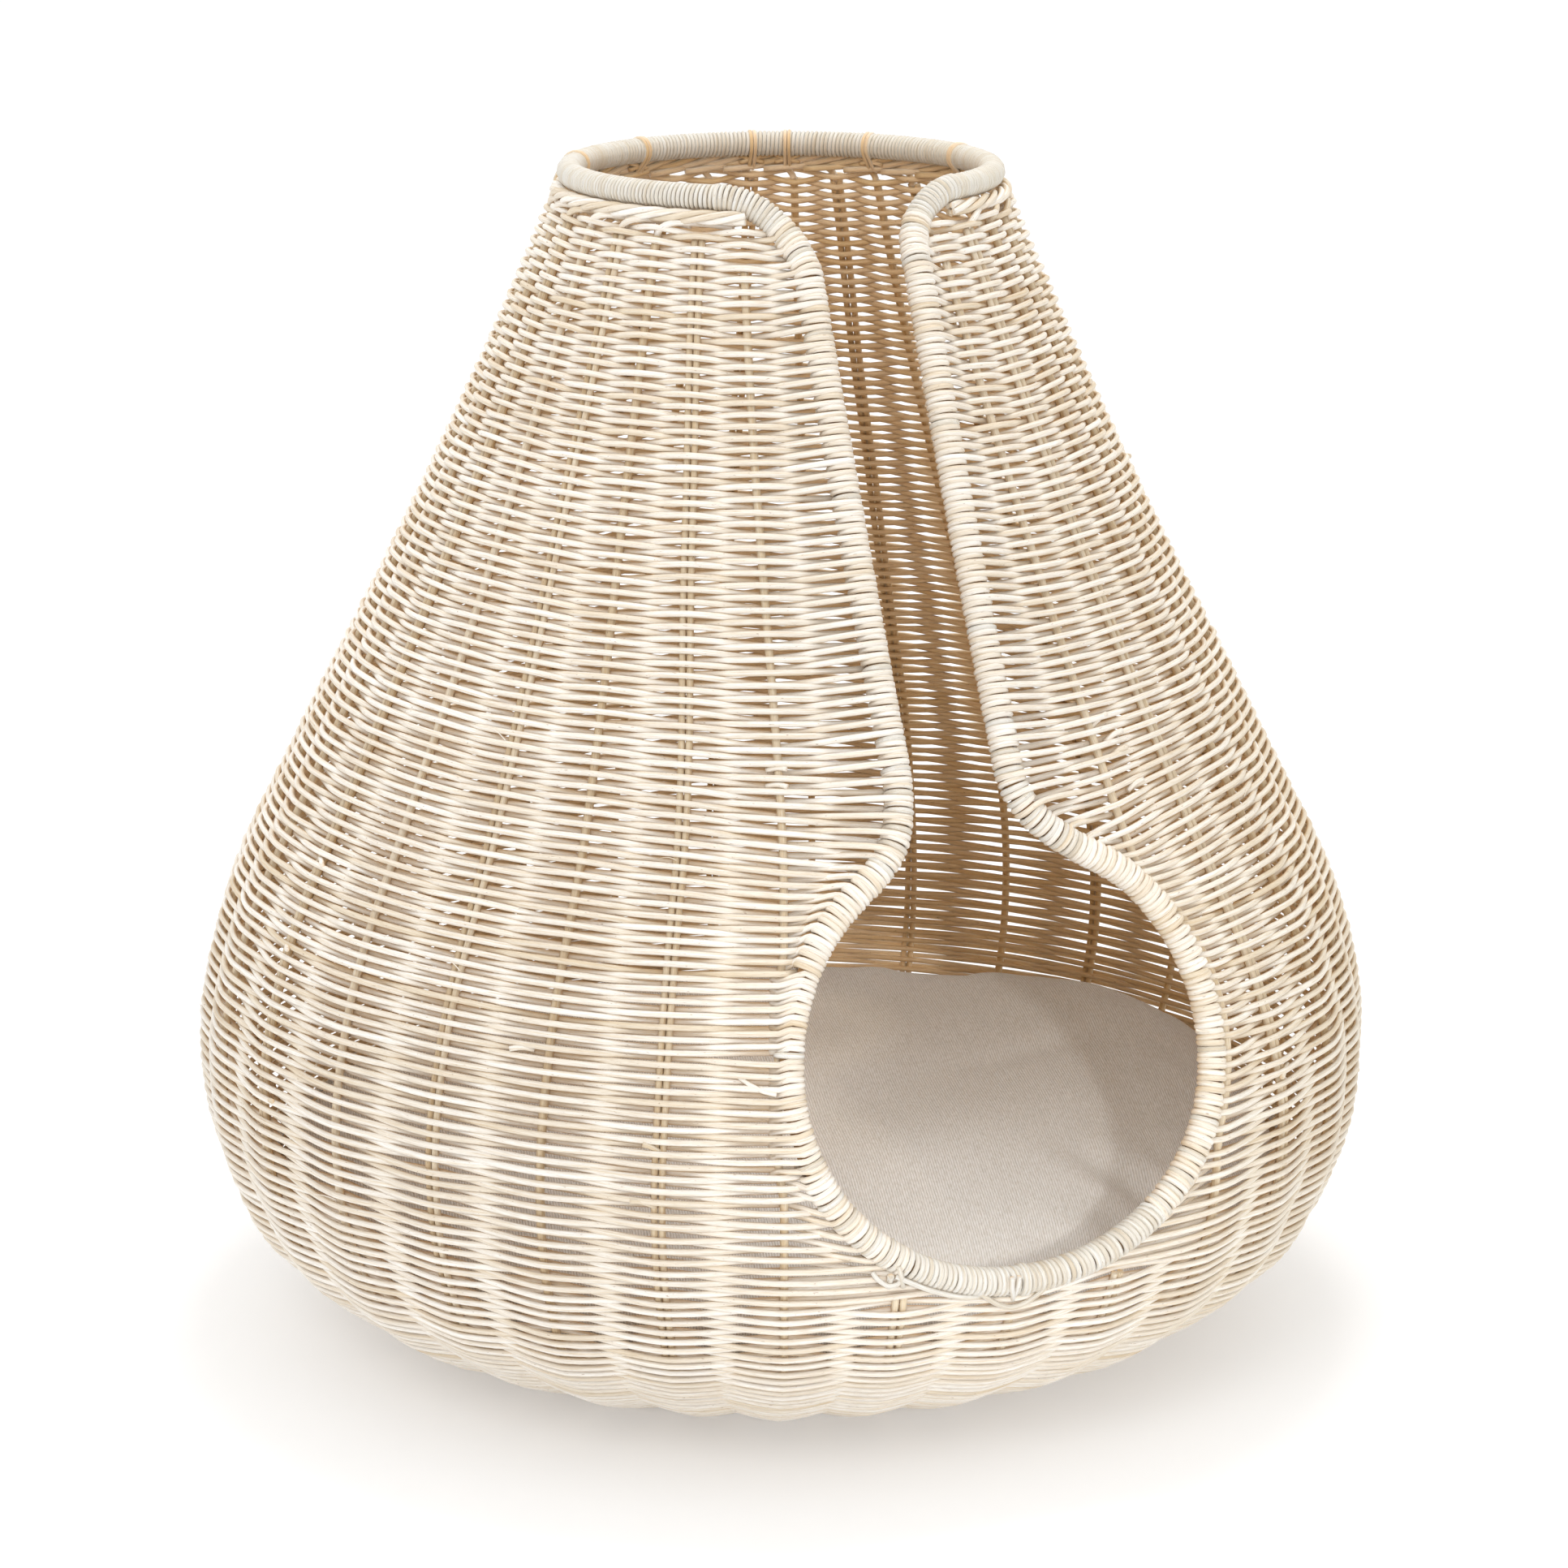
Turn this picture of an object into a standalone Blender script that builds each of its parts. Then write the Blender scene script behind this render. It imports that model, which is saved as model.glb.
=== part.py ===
"""A round wicker pet bed: a bulbous rattan basket with a keyhole opening and a loose floor cushion.

The basket stands on z = 0 with its axis on +Z, and the entrance faces -Y. Every position on the wall is
given by an angle round the axis, counted from the entrance centre towards +X, and a height.
"""

import math

import bpy
import numpy as np
from mathutils import Vector

# Wall outline: height and outer radius, joined by one smooth curve
OUTLINE = (
    (0.000, 0.145),
    (0.015, 0.182),
    (0.040, 0.219),
    (0.080, 0.2425),
    (0.125, 0.250),
    (0.185, 0.239),
    (0.255, 0.206),
    (0.335, 0.165),
    (0.415, 0.126),
    (0.492, 0.092),
)
GAP = 0.0003  # clearance between touching pieces

# Woven wall
SKIN = 0.0046  # depth of the weaving outside the stakes
WALL_TOP = 0.4795
LOWER_BAND = (0.0, 0.010, 0.030, 0.058, 0.0840)
MIDDLE_BAND = (0.0843, 0.120, 0.160, 0.200, 0.245, 0.290)
UPPER_BAND = (0.2903, 0.350, 0.415, WALL_TOP)
COLUMNS = 64

# Stakes
STAKE_COUNT = 32
STAKE_RADIUS = 0.00175
PAIR_ROD_RADIUS = 0.0014
ROD_SIDES = 6
PAIR_HALF_SPREAD = 0.0014
CORNER_STAKE_TOP = 0.4695  # the stakes beside the slit end under the bound corners
SPOKE_START = 0.046
SPOKE_END = 0.134
STAKE_STATIONS = LOWER_BAND[1:-1] + (0.086,) + MIDDLE_BAND[1:] + UPPER_BAND[1:]
STAKE_TWIST = math.radians(-3.2)  # the upper stakes stand this far round from the base spokes
TWIST_HEIGHTS = (0.09, 0.28)  # the front takes up the twist between these heights
TWIST_ANGLES = (math.radians(40), math.radians(110))  # and the low back wall between these angles
LEAN_POWER = 1.5  # how the left side's stakes lean more and more towards the top
BACK_LEAN = math.radians(5.2)
BACK_LEAN_HEIGHTS = (0.280, 0.467)
BACK_LEAN_ANGLES = (math.radians(80), math.radians(160))  # it fades out between these, round the back
FRONT_START = math.radians(0.6)  # the left front stakes start a little towards the entrance
FRONT_START_HEIGHT = 0.06
FRONT_LEAN = math.radians(8.6)
FRONT_LEAN_HEIGHTS = (0.250, 0.467)
FRONT_LEAN_ANGLES = (math.radians(50), math.radians(80))
BESIDE_ENTRANCE = (math.radians(20), math.radians(25))  # spoke angles of the stakes that bow out round it
BOW_SOFTNESS = math.radians(1.2)
BESIDE_GAP = 0.0016  # between those stakes and the entrance binding
ENTRANCE_STAKE_GAP = 1.35  # the stakes under the entrance end this many edge radii below its pole

# Base
BASE_DEPTH = SKIN
BASE_POCKET_RADIUS = SPOKE_START - 0.0005
BASE_POCKET_FLOOR = 0.0010
CROSS_STICKS = 4
CROSS_PITCH = 0.0060
CROSS_HALF_LENGTH = 0.041

# Bound edge: one pole round the entrance, up both sides of the slit and round the top mouth
POLE_RADIUS = 0.0037
EDGE_RADIUS = 0.0058
MID_DEPTH = 0.00425  # the pole's centre below the outer wall surface
ENTRANCE_OFFSET = 0.0036  # along the wall, towards +X
ENTRANCE_HEIGHT = 0.1725
ENTRANCE_HALF_WIDTH = 0.0926
ENTRANCE_FALL = 0.0815  # half heights under and over ENTRANCE_HEIGHT
ENTRANCE_RISE = 0.0860
THROAT_TURN = math.radians(56.2)  # where the edge leaves the entrance's ellipse for the slit
THROAT_TOP = 0.284
THROAT_PULL = 0.020  # how far the throat's curve keeps to its directions at both ends
SLIT_OFFSET = -0.0046
SLIT_HALF_WIDTH = 0.0233
SHIFT_HEIGHTS = (0.236, 0.276)  # the edge drifts from the entrance's middle to the slit's between these
HOOP_HEIGHT = 0.492
HOOP_RADIUS = 0.0870
CORNER_RADIUS_LEFT = 0.031
CORNER_RADIUS_RIGHT = 0.027
EDGE_SIDES = 8
HOOP_STEPS = 32
JAMB_STEPS = 4
CORNER_STEPS = 5
ENTRANCE_STEPS = 12
THROAT_STEPS = 6
CUTTER_GAP = 0.0012  # between the binding and the wall's cut
CUTTER_TOP = 0.52
CUTTER_FRONT = -0.30
CUTTER_BACK = -0.01

# Border braid of bent-down stake ends, under the top hoop
BRAID_RADIUS = 0.0025
BRAID_HEIGHT = 0.4831
BRAID_END_ANGLE = math.radians(31)
BRAID_LEFT_CUT = math.radians(2.5)  # it stops sooner at the wider left corner

# Cushion
CUSHION_FLOOR = 0.0090
CUSHION_SIDE_CLEARANCE = 0.0115  # from the outer wall surface
CUSHION_SEAM_RADIUS = 0.2215
CUSHION_SEAM_HEIGHT = 0.066
CUSHION_SHOULDER_RADIUS = 0.196
CUSHION_SHOULDER_HEIGHT = 0.0860
CUSHION_CROWN = 0.0950
COVER_THICKNESS = 0.0012
CUSHION_FLAT_RADII = (0.075, 0.132)
CUSHION_BOWL_HEIGHTS = (0.003, 0.012, 0.026, 0.042)
CUSHION_SIDE_SHARES = (0.0, 0.33, 0.67, 1.0)
CUSHION_CROWN_SHARES = (0.68, 0.34, 0.0)
CUSHION_SEGMENTS = 32

# Colour, roughness
WEAVE_FINISH = ((0.86, 0.80, 0.69, 1), 0.60)
STAKE_FINISH = ((0.80, 0.71, 0.56, 1), 0.65)
POLE_FINISH = ((0.66, 0.50, 0.33, 1), 0.60)
BINDING_FINISH = ((0.88, 0.83, 0.73, 1), 0.50)
CLOTH_FINISH = ((0.58, 0.53, 0.48, 1), 0.95)
FILLING_FINISH = ((0.92, 0.92, 0.90, 1), 0.90)


def clear_scene():
    for obj in list(bpy.data.objects):
        bpy.data.objects.remove(obj, do_unlink=True)


def material(name, finish):
    made = bpy.data.materials.get(name)
    if made is None:
        made = bpy.data.materials.new(name)
        made.use_nodes = True
        shader = made.node_tree.nodes["Principled BSDF"]
        shader.inputs["Base Color"].default_value = finish[0]
        shader.inputs["Roughness"].default_value = finish[1]
        shader.inputs["Metallic"].default_value = 0.0
    return made


def add_mesh(name, points, faces, finish_name, finish):
    mesh = bpy.data.meshes.new(name)
    mesh.from_pydata([tuple(p) for p in points], [], faces)
    mesh.validate()
    mesh.shade_smooth()
    mesh.set_sharp_from_angle(angle=math.radians(40))
    mesh.materials.append(material(finish_name, finish))
    obj = bpy.data.objects.new(name, mesh)
    bpy.context.scene.collection.objects.link(obj)
    return obj


# ---- the wall surface ----


def outline_slopes():
    """Radius change per height at each outline point, from its two neighbours."""
    heights = np.array([p[0] for p in OUTLINE])
    radii = np.array([p[1] for p in OUTLINE])
    steps = np.diff(heights)
    rises = np.diff(radii) / steps
    inner = (rises[:-1] * steps[1:] + rises[1:] * steps[:-1]) / (steps[:-1] + steps[1:])
    first = 1.5 * rises[0] - 0.5 * inner[0]
    last = 1.5 * rises[-1] - 0.5 * inner[-1]
    return heights, radii, np.concatenate(([first], inner, [last]))


HEIGHTS, RADII, SLOPES = outline_slopes()


def wall_radius(z):
    """Outer radius and its slope at height z, on the cubic curve through OUTLINE."""
    i = int(np.clip(np.searchsorted(HEIGHTS, z, side="right") - 1, 0, len(HEIGHTS) - 2))
    span = HEIGHTS[i + 1] - HEIGHTS[i]
    t = (z - HEIGHTS[i]) / span
    r0, r1, m0, m1 = RADII[i], RADII[i + 1], SLOPES[i] * span, SLOPES[i + 1] * span
    a = 2 * r0 - 2 * r1 + m0 + m1
    b = -3 * r0 + 3 * r1 - 2 * m0 - m1
    radius = ((a * t + b) * t + m0) * t + r0
    slope = ((3 * a * t + 2 * b) * t + m0) / span
    return float(radius), float(slope)


def below_surface(z, depth):
    """Radius and height of the point this deep under the outer surface at z, square to it."""
    radius, slope = wall_radius(z)
    length = math.hypot(1, slope)
    return radius - depth / length, z + depth * slope / length


def ease(value, low, high):
    t = min(max((value - low) / (high - low), 0.0), 1.0)
    return t * t * (3 - 2 * t)


def entrance_half_width(z):
    """Half width of the entrance's ellipse, on the pole's centre line, at height z, and 0 past its ends."""
    share = (z - ENTRANCE_HEIGHT) / (ENTRANCE_RISE if z > ENTRANCE_HEIGHT else ENTRANCE_FALL)
    return ENTRANCE_HALF_WIDTH * math.sqrt(max(1 - share * share, 0.0))


def lean(z, most, heights):
    """Lean at height z that starts at the first height and reaches most at the second."""
    share = (z - heights[0]) / (heights[1] - heights[0])
    return most * max(share, 0.0) ** LEAN_POWER


def stake_turn(spoke_angle, z):
    """How far round from its spoke a stake stands at height z.

    The upper wall is turned by STAKE_TWIST, and the stakes on the left lean further towards the top."""
    high = ease(z, *TWIST_HEIGHTS)
    back = ease(abs(spoke_angle), *TWIST_ANGLES)
    turn = STAKE_TWIST * (high + (1 - high) * back)
    if spoke_angle > -BESIDE_ENTRANCE[0]:
        return turn
    turn -= lean(z, BACK_LEAN, BACK_LEAN_HEIGHTS) * (1 - ease(-spoke_angle, *BACK_LEAN_ANGLES))
    front = 1 - ease(-spoke_angle, *FRONT_LEAN_ANGLES)
    front_turn = FRONT_START * ease(z, 0.0, FRONT_START_HEIGHT) - lean(z, FRONT_LEAN, FRONT_LEAN_HEIGHTS)
    return front * front_turn + (1 - front) * turn


def column_angle(spoke_angle, z):
    """Where the stake that leaves the base at spoke_angle stands at height z.

    The stakes beside the entrance bow out round it."""
    turned = spoke_angle + stake_turn(spoke_angle, z)
    if not BESIDE_ENTRANCE[0] < abs(spoke_angle) < BESIDE_ENTRANCE[1]:
        return turned
    side = math.copysign(1, spoke_angle)
    reach = entrance_half_width(z) + side * ENTRANCE_OFFSET + EDGE_RADIUS + STAKE_RADIUS + BESIDE_GAP
    needed = reach / below_surface(z, MID_DEPTH)[0]
    outer = abs(turned)
    return side * 0.5 * (outer + needed + math.hypot(outer - needed, BOW_SOFTNESS))


def at(radius, angle, z):
    return Vector((radius * math.sin(angle), -radius * math.cos(angle), z))


# ---- sweeps ----


def framed(places):
    """Each (point, normal) of a path with the path's direction there, as (point, direction, normal)."""
    frames = []
    for i, (point, normal) in enumerate(places):
        ahead = places[min(i + 1, len(places) - 1)][0]
        behind = places[max(i - 1, 0)][0]
        frames.append((point, (ahead - behind).normalized(), normal))
    return frames


def sweep(name, frames, rings, finish_name, finish):
    """A rod along a path. rings holds one closed section for a solid rod, or outer and inner for a sleeve.

    A section point (u, v) lies u along the wall and v along the wall's outward normal."""
    points = []
    for centre, direction, normal in frames:
        across = normal.cross(direction).normalized()
        outward = direction.cross(across)
        for ring in rings:
            points += [centre + across * u + outward * v for u, v in ring]
    sides = len(rings[0])
    stride = sides * len(rings)
    faces = []
    for i in range(len(frames) - 1):
        for layer in range(len(rings)):
            for j in range(sides):
                a = i * stride + layer * sides + j
                b = i * stride + layer * sides + (j + 1) % sides
                quad = (a, b, b + stride, a + stride)
                faces.append(quad if layer == 0 else quad[::-1])
    end = (len(frames) - 1) * stride
    if len(rings) == 1:
        faces.append(tuple(range(sides))[::-1])
        faces.append(tuple(end + j for j in range(sides)))
    else:
        for j in range(sides):
            k = (j + 1) % sides
            faces.append((j + sides, k + sides, k, j))
            faces.append((end + j, end + k, end + k + sides, end + j + sides))
    return add_mesh(name, points, faces, finish_name, finish)


def circle(radius, sides):
    turns = [2 * math.pi * (i + 0.5) / sides for i in range(sides)]
    return [(radius * math.cos(turn), radius * math.sin(turn)) for turn in turns]


def pair_section():
    """Two rods side by side, seen end on, as one flat-topped outline."""
    across = PAIR_ROD_RADIUS
    half = [(PAIR_HALF_SPREAD, -across), (PAIR_HALF_SPREAD + across, 0.0), (PAIR_HALF_SPREAD, across)]
    return half + [(-u, -v) for u, v in half]


# ---- stakes and base ----


def stake_path(spoke_angle, top):
    """The stake's centre line: out along the base as a spoke, round the heel and up inside the weaving."""
    depth = SKIN + GAP + STAKE_RADIUS
    down = Vector((0, 0, -1))
    places = [(at(SPOKE_START, spoke_angle, depth), down), (at(SPOKE_END, spoke_angle, depth), down)]
    for z in STAKE_STATIONS:
        radius, height = below_surface(z, depth)
        angle = column_angle(spoke_angle, z)
        slope = wall_radius(z)[1]
        normal = Vector((math.sin(angle), -math.cos(angle), -slope)).normalized()
        point = at(radius, angle, height)
        if height > top:
            low = places[-1][0]
            places.append((low.lerp(point, (top - low.z) / (point.z - low.z)), normal))
            break
        places.append((point, normal))
    return framed(places)


def stake_top(number):
    """The stakes under the entrance stop short of its bound edge, and the others run up to the braid."""
    if abs(number) > 1:
        return CORNER_STAKE_TOP if abs(number) == 2 else WALL_TOP - 0.002
    sill_radius = wall_radius(ENTRANCE_HEIGHT - ENTRANCE_FALL)[0]
    along = number * 2 * math.pi / STAKE_COUNT * sill_radius - ENTRANCE_OFFSET
    fall = ENTRANCE_FALL * math.sqrt(1 - (along / ENTRANCE_HALF_WIDTH) ** 2)
    return ENTRANCE_HEIGHT - fall - ENTRANCE_STAKE_GAP * EDGE_RADIUS - 3 * GAP


def make_stakes():
    for i in range(STAKE_COUNT):
        number = i - STAKE_COUNT // 2 + 1
        spoke_angle = number * 2 * math.pi / STAKE_COUNT
        frames = stake_path(spoke_angle, stake_top(number))
        single = number % 2 == 0
        section = circle(STAKE_RADIUS, ROD_SIDES) if single else pair_section()
        name = f"{'stake' if single else 'stake_pair'}_{i + 1:02d}"
        sweep(name, frames, [section], "stake_cane", STAKE_FINISH)


def make_cross_sticks():
    """The middle of the base: one layer of sticks along X and one along Y on top of it."""
    low = BASE_POCKET_FLOOR + GAP + STAKE_RADIUS
    for layer, label in enumerate(("lower", "upper")):
        for i in range(CROSS_STICKS):
            across = (i - (CROSS_STICKS - 1) / 2) * CROSS_PITCH
            z = low + layer * (2 * STAKE_RADIUS + GAP)
            ends = [Vector((-CROSS_HALF_LENGTH, across, z)), Vector((CROSS_HALF_LENGTH, across, z))]
            if layer:
                ends = [Vector((p.y, p.x, p.z)) for p in ends]
            frames = framed([(end, Vector((0, 0, 1))) for end in ends])
            name = f"base_stick_{label}_{i + 1}"
            sweep(name, frames, [circle(STAKE_RADIUS, ROD_SIDES)], "stake_cane", STAKE_FINISH)


def lathe(name, outline, columns, finish_name, finish, angle_of=None):
    """A turned ring or disc. outline holds (radius, z, level), anticlockwise in the half plane, and a radius
    of 0 makes a single point. angle_of(column angle, level), if given, moves a point round the axis."""
    points = []
    rows = []
    for radius, z, level in outline:
        row = []
        for j in range(1 if radius == 0 else columns):
            angle = -math.pi + (j + 1) * 2 * math.pi / columns
            if angle_of:
                angle = angle_of(angle, level)
            row.append(len(points))
            points.append(at(radius, angle, z))
        rows.append(row)
    faces = []
    joined = [(rows[i], rows[i + 1]) for i in range(len(rows) - 1)]
    if len(rows[0]) > 1:
        joined.append((rows[-1], rows[0]))
    for low, high in joined:
        for j in range(columns):
            k = (j + 1) % columns
            corners = [low[j % len(low)], low[k % len(low)], high[k % len(high)], high[j % len(high)]]
            faces.append(tuple(dict.fromkeys(corners)))
    return add_mesh(name, points, faces, finish_name, finish)


def make_base():
    """The woven disc that the basket stands on, with a pocket for the crossed sticks."""
    rim_low = wall_radius(0.0)[0]
    rim_high, rim_top = below_surface(0.0, SKIN)
    outline = [
        (0, 0, 0),
        (rim_low - 1.5 * GAP, 0, 0),
        (rim_high - 1.5 * GAP, rim_top, 0),
        (rim_high - 0.002, BASE_DEPTH, 0),
        (BASE_POCKET_RADIUS, BASE_DEPTH, 0),
        (BASE_POCKET_RADIUS, BASE_POCKET_FLOOR, 0),
        (0, BASE_POCKET_FLOOR, 0),
    ]
    lathe("base_weave", outline, COLUMNS, "base_cane", WEAVE_FINISH)


# ---- woven wall ----


def make_band(name, stations):
    outer = [(wall_radius(z)[0], z, z) for z in stations]
    inner = [(*below_surface(z, SKIN), z) for z in stations]
    return lathe(name, outer + inner[::-1], COLUMNS, "weave_cane", WEAVE_FINISH, column_angle)


def edge_outline():
    """Right half of the bound edge's centre line as (distance from its own middle line, height), from the
    entrance's lowest point up to the top of the throat: an ellipse, then one cubic curve into the slit."""
    half = []
    for i in range(ENTRANCE_STEPS + 1):
        turn = -math.pi / 2 + (math.pi / 2 + THROAT_TURN) * i / ENTRANCE_STEPS
        rise = ENTRANCE_RISE if turn > 0 else ENTRANCE_FALL
        half.append((ENTRANCE_HALF_WIDTH * math.cos(turn), ENTRANCE_HEIGHT + rise * math.sin(turn)))
    start = Vector(half[-1])
    heading = Vector((-ENTRANCE_HALF_WIDTH * math.sin(THROAT_TURN), ENTRANCE_RISE * math.cos(THROAT_TURN)))
    end = Vector((SLIT_HALF_WIDTH, THROAT_TOP))
    first = start + heading.normalized() * THROAT_PULL
    second = end - Vector((0, THROAT_PULL))
    for i in range(1, THROAT_STEPS + 1):
        t = i / THROAT_STEPS
        u = 1 - t
        half.append(tuple(u**3 * start + 3 * u * u * t * first + 3 * u * t * t * second + t**3 * end))
    return half


def corner_points(radius):
    """The quarter turn from the slit out to the hoop, as (distance from the slit's middle, height)."""
    made = []
    for i in range(CORNER_STEPS + 1):
        turn = i / CORNER_STEPS * math.pi / 2
        along = SLIT_HALF_WIDTH + radius * (1 - math.cos(turn))
        made.append((along, HOOP_HEIGHT - radius * (1 - math.sin(turn))))
    return made


def edge_shift(z):
    """How far the middle line of the opening lies to +X of the front: the slit runs left of the entrance."""
    return ENTRANCE_OFFSET + (SLIT_OFFSET - ENTRANCE_OFFSET) * ease(z, *SHIFT_HEIGHTS)


def edge_point(side, along, z):
    """A point of the pole's centre line and the wall's outward normal there."""
    radius, slope = wall_radius(z)
    radius, _ = below_surface(z, MID_DEPTH)
    if z > HOOP_HEIGHT - max(CORNER_RADIUS_LEFT, CORNER_RADIUS_RIGHT):
        radius += (HOOP_RADIUS - radius) * ease(z, HOOP_HEIGHT - 0.03, HOOP_HEIGHT)
    angle = (side * along + edge_shift(z)) / radius
    normal = Vector((math.sin(angle), -math.cos(angle), -slope)).normalized()
    return at(radius, angle, z), normal


def side_stretches(side):
    """Pole points on one side, as entrance half, jamb and corner, each with its normals."""
    corner_radius = CORNER_RADIUS_RIGHT if side > 0 else CORNER_RADIUS_LEFT
    entrance = [edge_point(side, along, z) for along, z in edge_outline()]
    corner = [edge_point(side, along, z) for along, z in corner_points(corner_radius)]
    rise = HOOP_HEIGHT - corner_radius - THROAT_TOP
    heights = [THROAT_TOP + rise * i / JAMB_STEPS for i in range(JAMB_STEPS + 1)]
    jamb = [edge_point(side, SLIT_HALF_WIDTH, z) for z in heights]
    return entrance, jamb, corner


def hoop_stretch(start, end):
    """Hoop points from angle start to angle end, the long way round through the back."""
    slope = wall_radius(HOOP_HEIGHT)[1]
    made = []
    for i in range(HOOP_STEPS + 1):
        angle = start + (end - start) * i / HOOP_STEPS
        normal = Vector((math.sin(angle), -math.cos(angle), -slope)).normalized()
        made.append((at(HOOP_RADIUS, angle, HOOP_HEIGHT), normal))
    return made


def hoop_ends():
    right = (SLIT_HALF_WIDTH + CORNER_RADIUS_RIGHT + SLIT_OFFSET) / HOOP_RADIUS
    left = (-SLIT_HALF_WIDTH - CORNER_RADIUS_LEFT + SLIT_OFFSET) / HOOP_RADIUS
    return right, left + 2 * math.pi


def stretch(frames, first, last):
    """The frames from first to last, with the two ends drawn in to stay clear of the next stretch."""
    part = frames[first : last + 1]
    point, direction, normal = part[0]
    part[0] = (point + direction * GAP, direction, normal)
    point, direction, normal = part[-1]
    part[-1] = (point - direction * GAP, direction, normal)
    return part


def edge_loop():
    """Frames once round the whole edge from the back of the hoop, and where each stretch of it ends."""
    right_entrance, right_jamb, right_corner = side_stretches(1)
    left_entrance, left_jamb, left_corner = side_stretches(-1)
    right_end, left_end = hoop_ends()
    hoop = hoop_stretch(right_end, left_end)
    middle = HOOP_STEPS // 2
    places = hoop[middle:] + left_corner[-2::-1]
    ends = [len(places) - 1]
    for piece in (left_jamb[-2::-1], left_entrance[-2::-1] + right_entrance[1:], right_jamb[1:]):
        places += piece
        ends.append(len(places) - 1)
    places += right_corner[1:-1] + hoop[: middle + 1]
    return framed(places), ends


def make_edge():
    """The pole, and the binding round each stretch of it."""
    frames, ends = edge_loop()
    last = len(frames) - 1
    pole = stretch(frames, 0, last)
    sweep("edge_pole", pole, [circle(POLE_RADIUS, EDGE_SIDES)], "pole_cane", POLE_FINISH)
    top = stretch(frames[ends[3] : -1] + frames[: ends[0] + 1], 0, last - ends[3] + ends[0])
    sleeves = {
        "top_hoop_binding": top,
        "left_slit_wraps": stretch(frames, ends[0], ends[1]),
        "entrance_binding": stretch(frames, ends[1], ends[2]),
        "right_slit_wraps": stretch(frames, ends[2], ends[3]),
    }
    rings = [circle(EDGE_RADIUS, EDGE_SIDES), circle(POLE_RADIUS + GAP, EDGE_SIDES)]
    for name, part in sleeves.items():
        sweep(name, part, rings, "binding_cane", BINDING_FINISH)


def opening_cutter():
    """A prism through the front wall, wider than the pole's centre line by the binding and a gap."""
    margin = EDGE_RADIUS + CUTTER_GAP
    sides = []
    for side in (1, -1):
        outline = edge_outline()
        reach = []
        for i, (along, z) in enumerate(outline):
            before = outline[max(i - 1, 0)]
            after = outline[min(i + 1, len(outline) - 1)]
            run = (after[0] - before[0], after[1] - before[1])
            length = math.hypot(*run)
            reach.append((along + margin * run[1] / length, z - margin * run[0] / length))
        reach[0] = (0.0, outline[0][1] - margin)
        slit_top = HOOP_HEIGHT - CORNER_RADIUS_LEFT
        for i in range(1, JAMB_STEPS):
            reach.append((SLIT_HALF_WIDTH + margin, THROAT_TOP + (slit_top - THROAT_TOP) * i / JAMB_STEPS))
        radius = CORNER_RADIUS_RIGHT if side > 0 else CORNER_RADIUS_LEFT
        for along, z in corner_points(radius)[1:-1]:
            centre = (SLIT_HALF_WIDTH + radius, HOOP_HEIGHT - radius)
            away = (along - centre[0], z - centre[1])
            share = 1 - margin / math.hypot(*away)
            reach.append((centre[0] + away[0] * share, centre[1] + away[1] * share))
        ring = []
        for along, z in reach:
            radius_here = below_surface(z, MID_DEPTH)[0]
            angle = (side * along + edge_shift(z)) / radius_here
            ring.append((radius_here * math.sin(angle), z))
        sides.append(ring)
    outline = sides[0] + [(sides[0][-1][0], CUTTER_TOP), (sides[1][-1][0], CUTTER_TOP)] + sides[1][:0:-1]
    count = len(outline)
    points = [(x, CUTTER_FRONT, z) for x, z in outline] + [(x, CUTTER_BACK, z) for x, z in outline]
    faces = [tuple(range(count))]
    faces.append(tuple(range(count, 2 * count))[::-1])
    for i in range(count):
        j = (i + 1) % count
        faces.append((i, i + count, j + count, j))
    cutter = add_mesh("opening_cutter", points, faces, "weave_cane", WEAVE_FINISH)
    cutter.hide_render = True
    cutter.display_type = "WIRE"
    return cutter


def cut(obj, cutter):
    boolean = obj.modifiers.new("opening", "BOOLEAN")
    boolean.operation = "DIFFERENCE"
    boolean.solver = "EXACT"
    boolean.object = cutter


def make_wall():
    make_band("lower_weave", LOWER_BAND)
    cutter = opening_cutter()
    cut(make_band("middle_weave", MIDDLE_BAND), cutter)
    cut(make_band("upper_weave", UPPER_BAND), cutter)


def make_braid():
    """The thick twisted row directly under the hoop."""
    radius, _ = below_surface(BRAID_HEIGHT, MID_DEPTH)
    shift = SLIT_OFFSET / radius
    start = BRAID_END_ANGLE + shift
    end = 2 * math.pi - BRAID_END_ANGLE - BRAID_LEFT_CUT + shift
    places = []
    for i in range(HOOP_STEPS + 1):
        angle = start + (end - start) * i / HOOP_STEPS
        places.append((at(radius, angle, BRAID_HEIGHT), Vector((math.sin(angle), -math.cos(angle), 0))))
    sweep("border_braid", framed(places), [circle(BRAID_RADIUS, 8)], "weave_cane", WEAVE_FINISH)


# ---- cushion ----


def cushion_underside():
    """Half section of the underside, from the middle out to the seam: flat, then along the bowl."""
    points = [(0.0, CUSHION_FLOOR)] + [(radius, CUSHION_FLOOR) for radius in CUSHION_FLAT_RADII]
    points += [below_surface(z, CUSHION_SIDE_CLEARANCE) for z in CUSHION_BOWL_HEIGHTS]
    points.append((CUSHION_SEAM_RADIUS, CUSHION_SEAM_HEIGHT))
    return points


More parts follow.
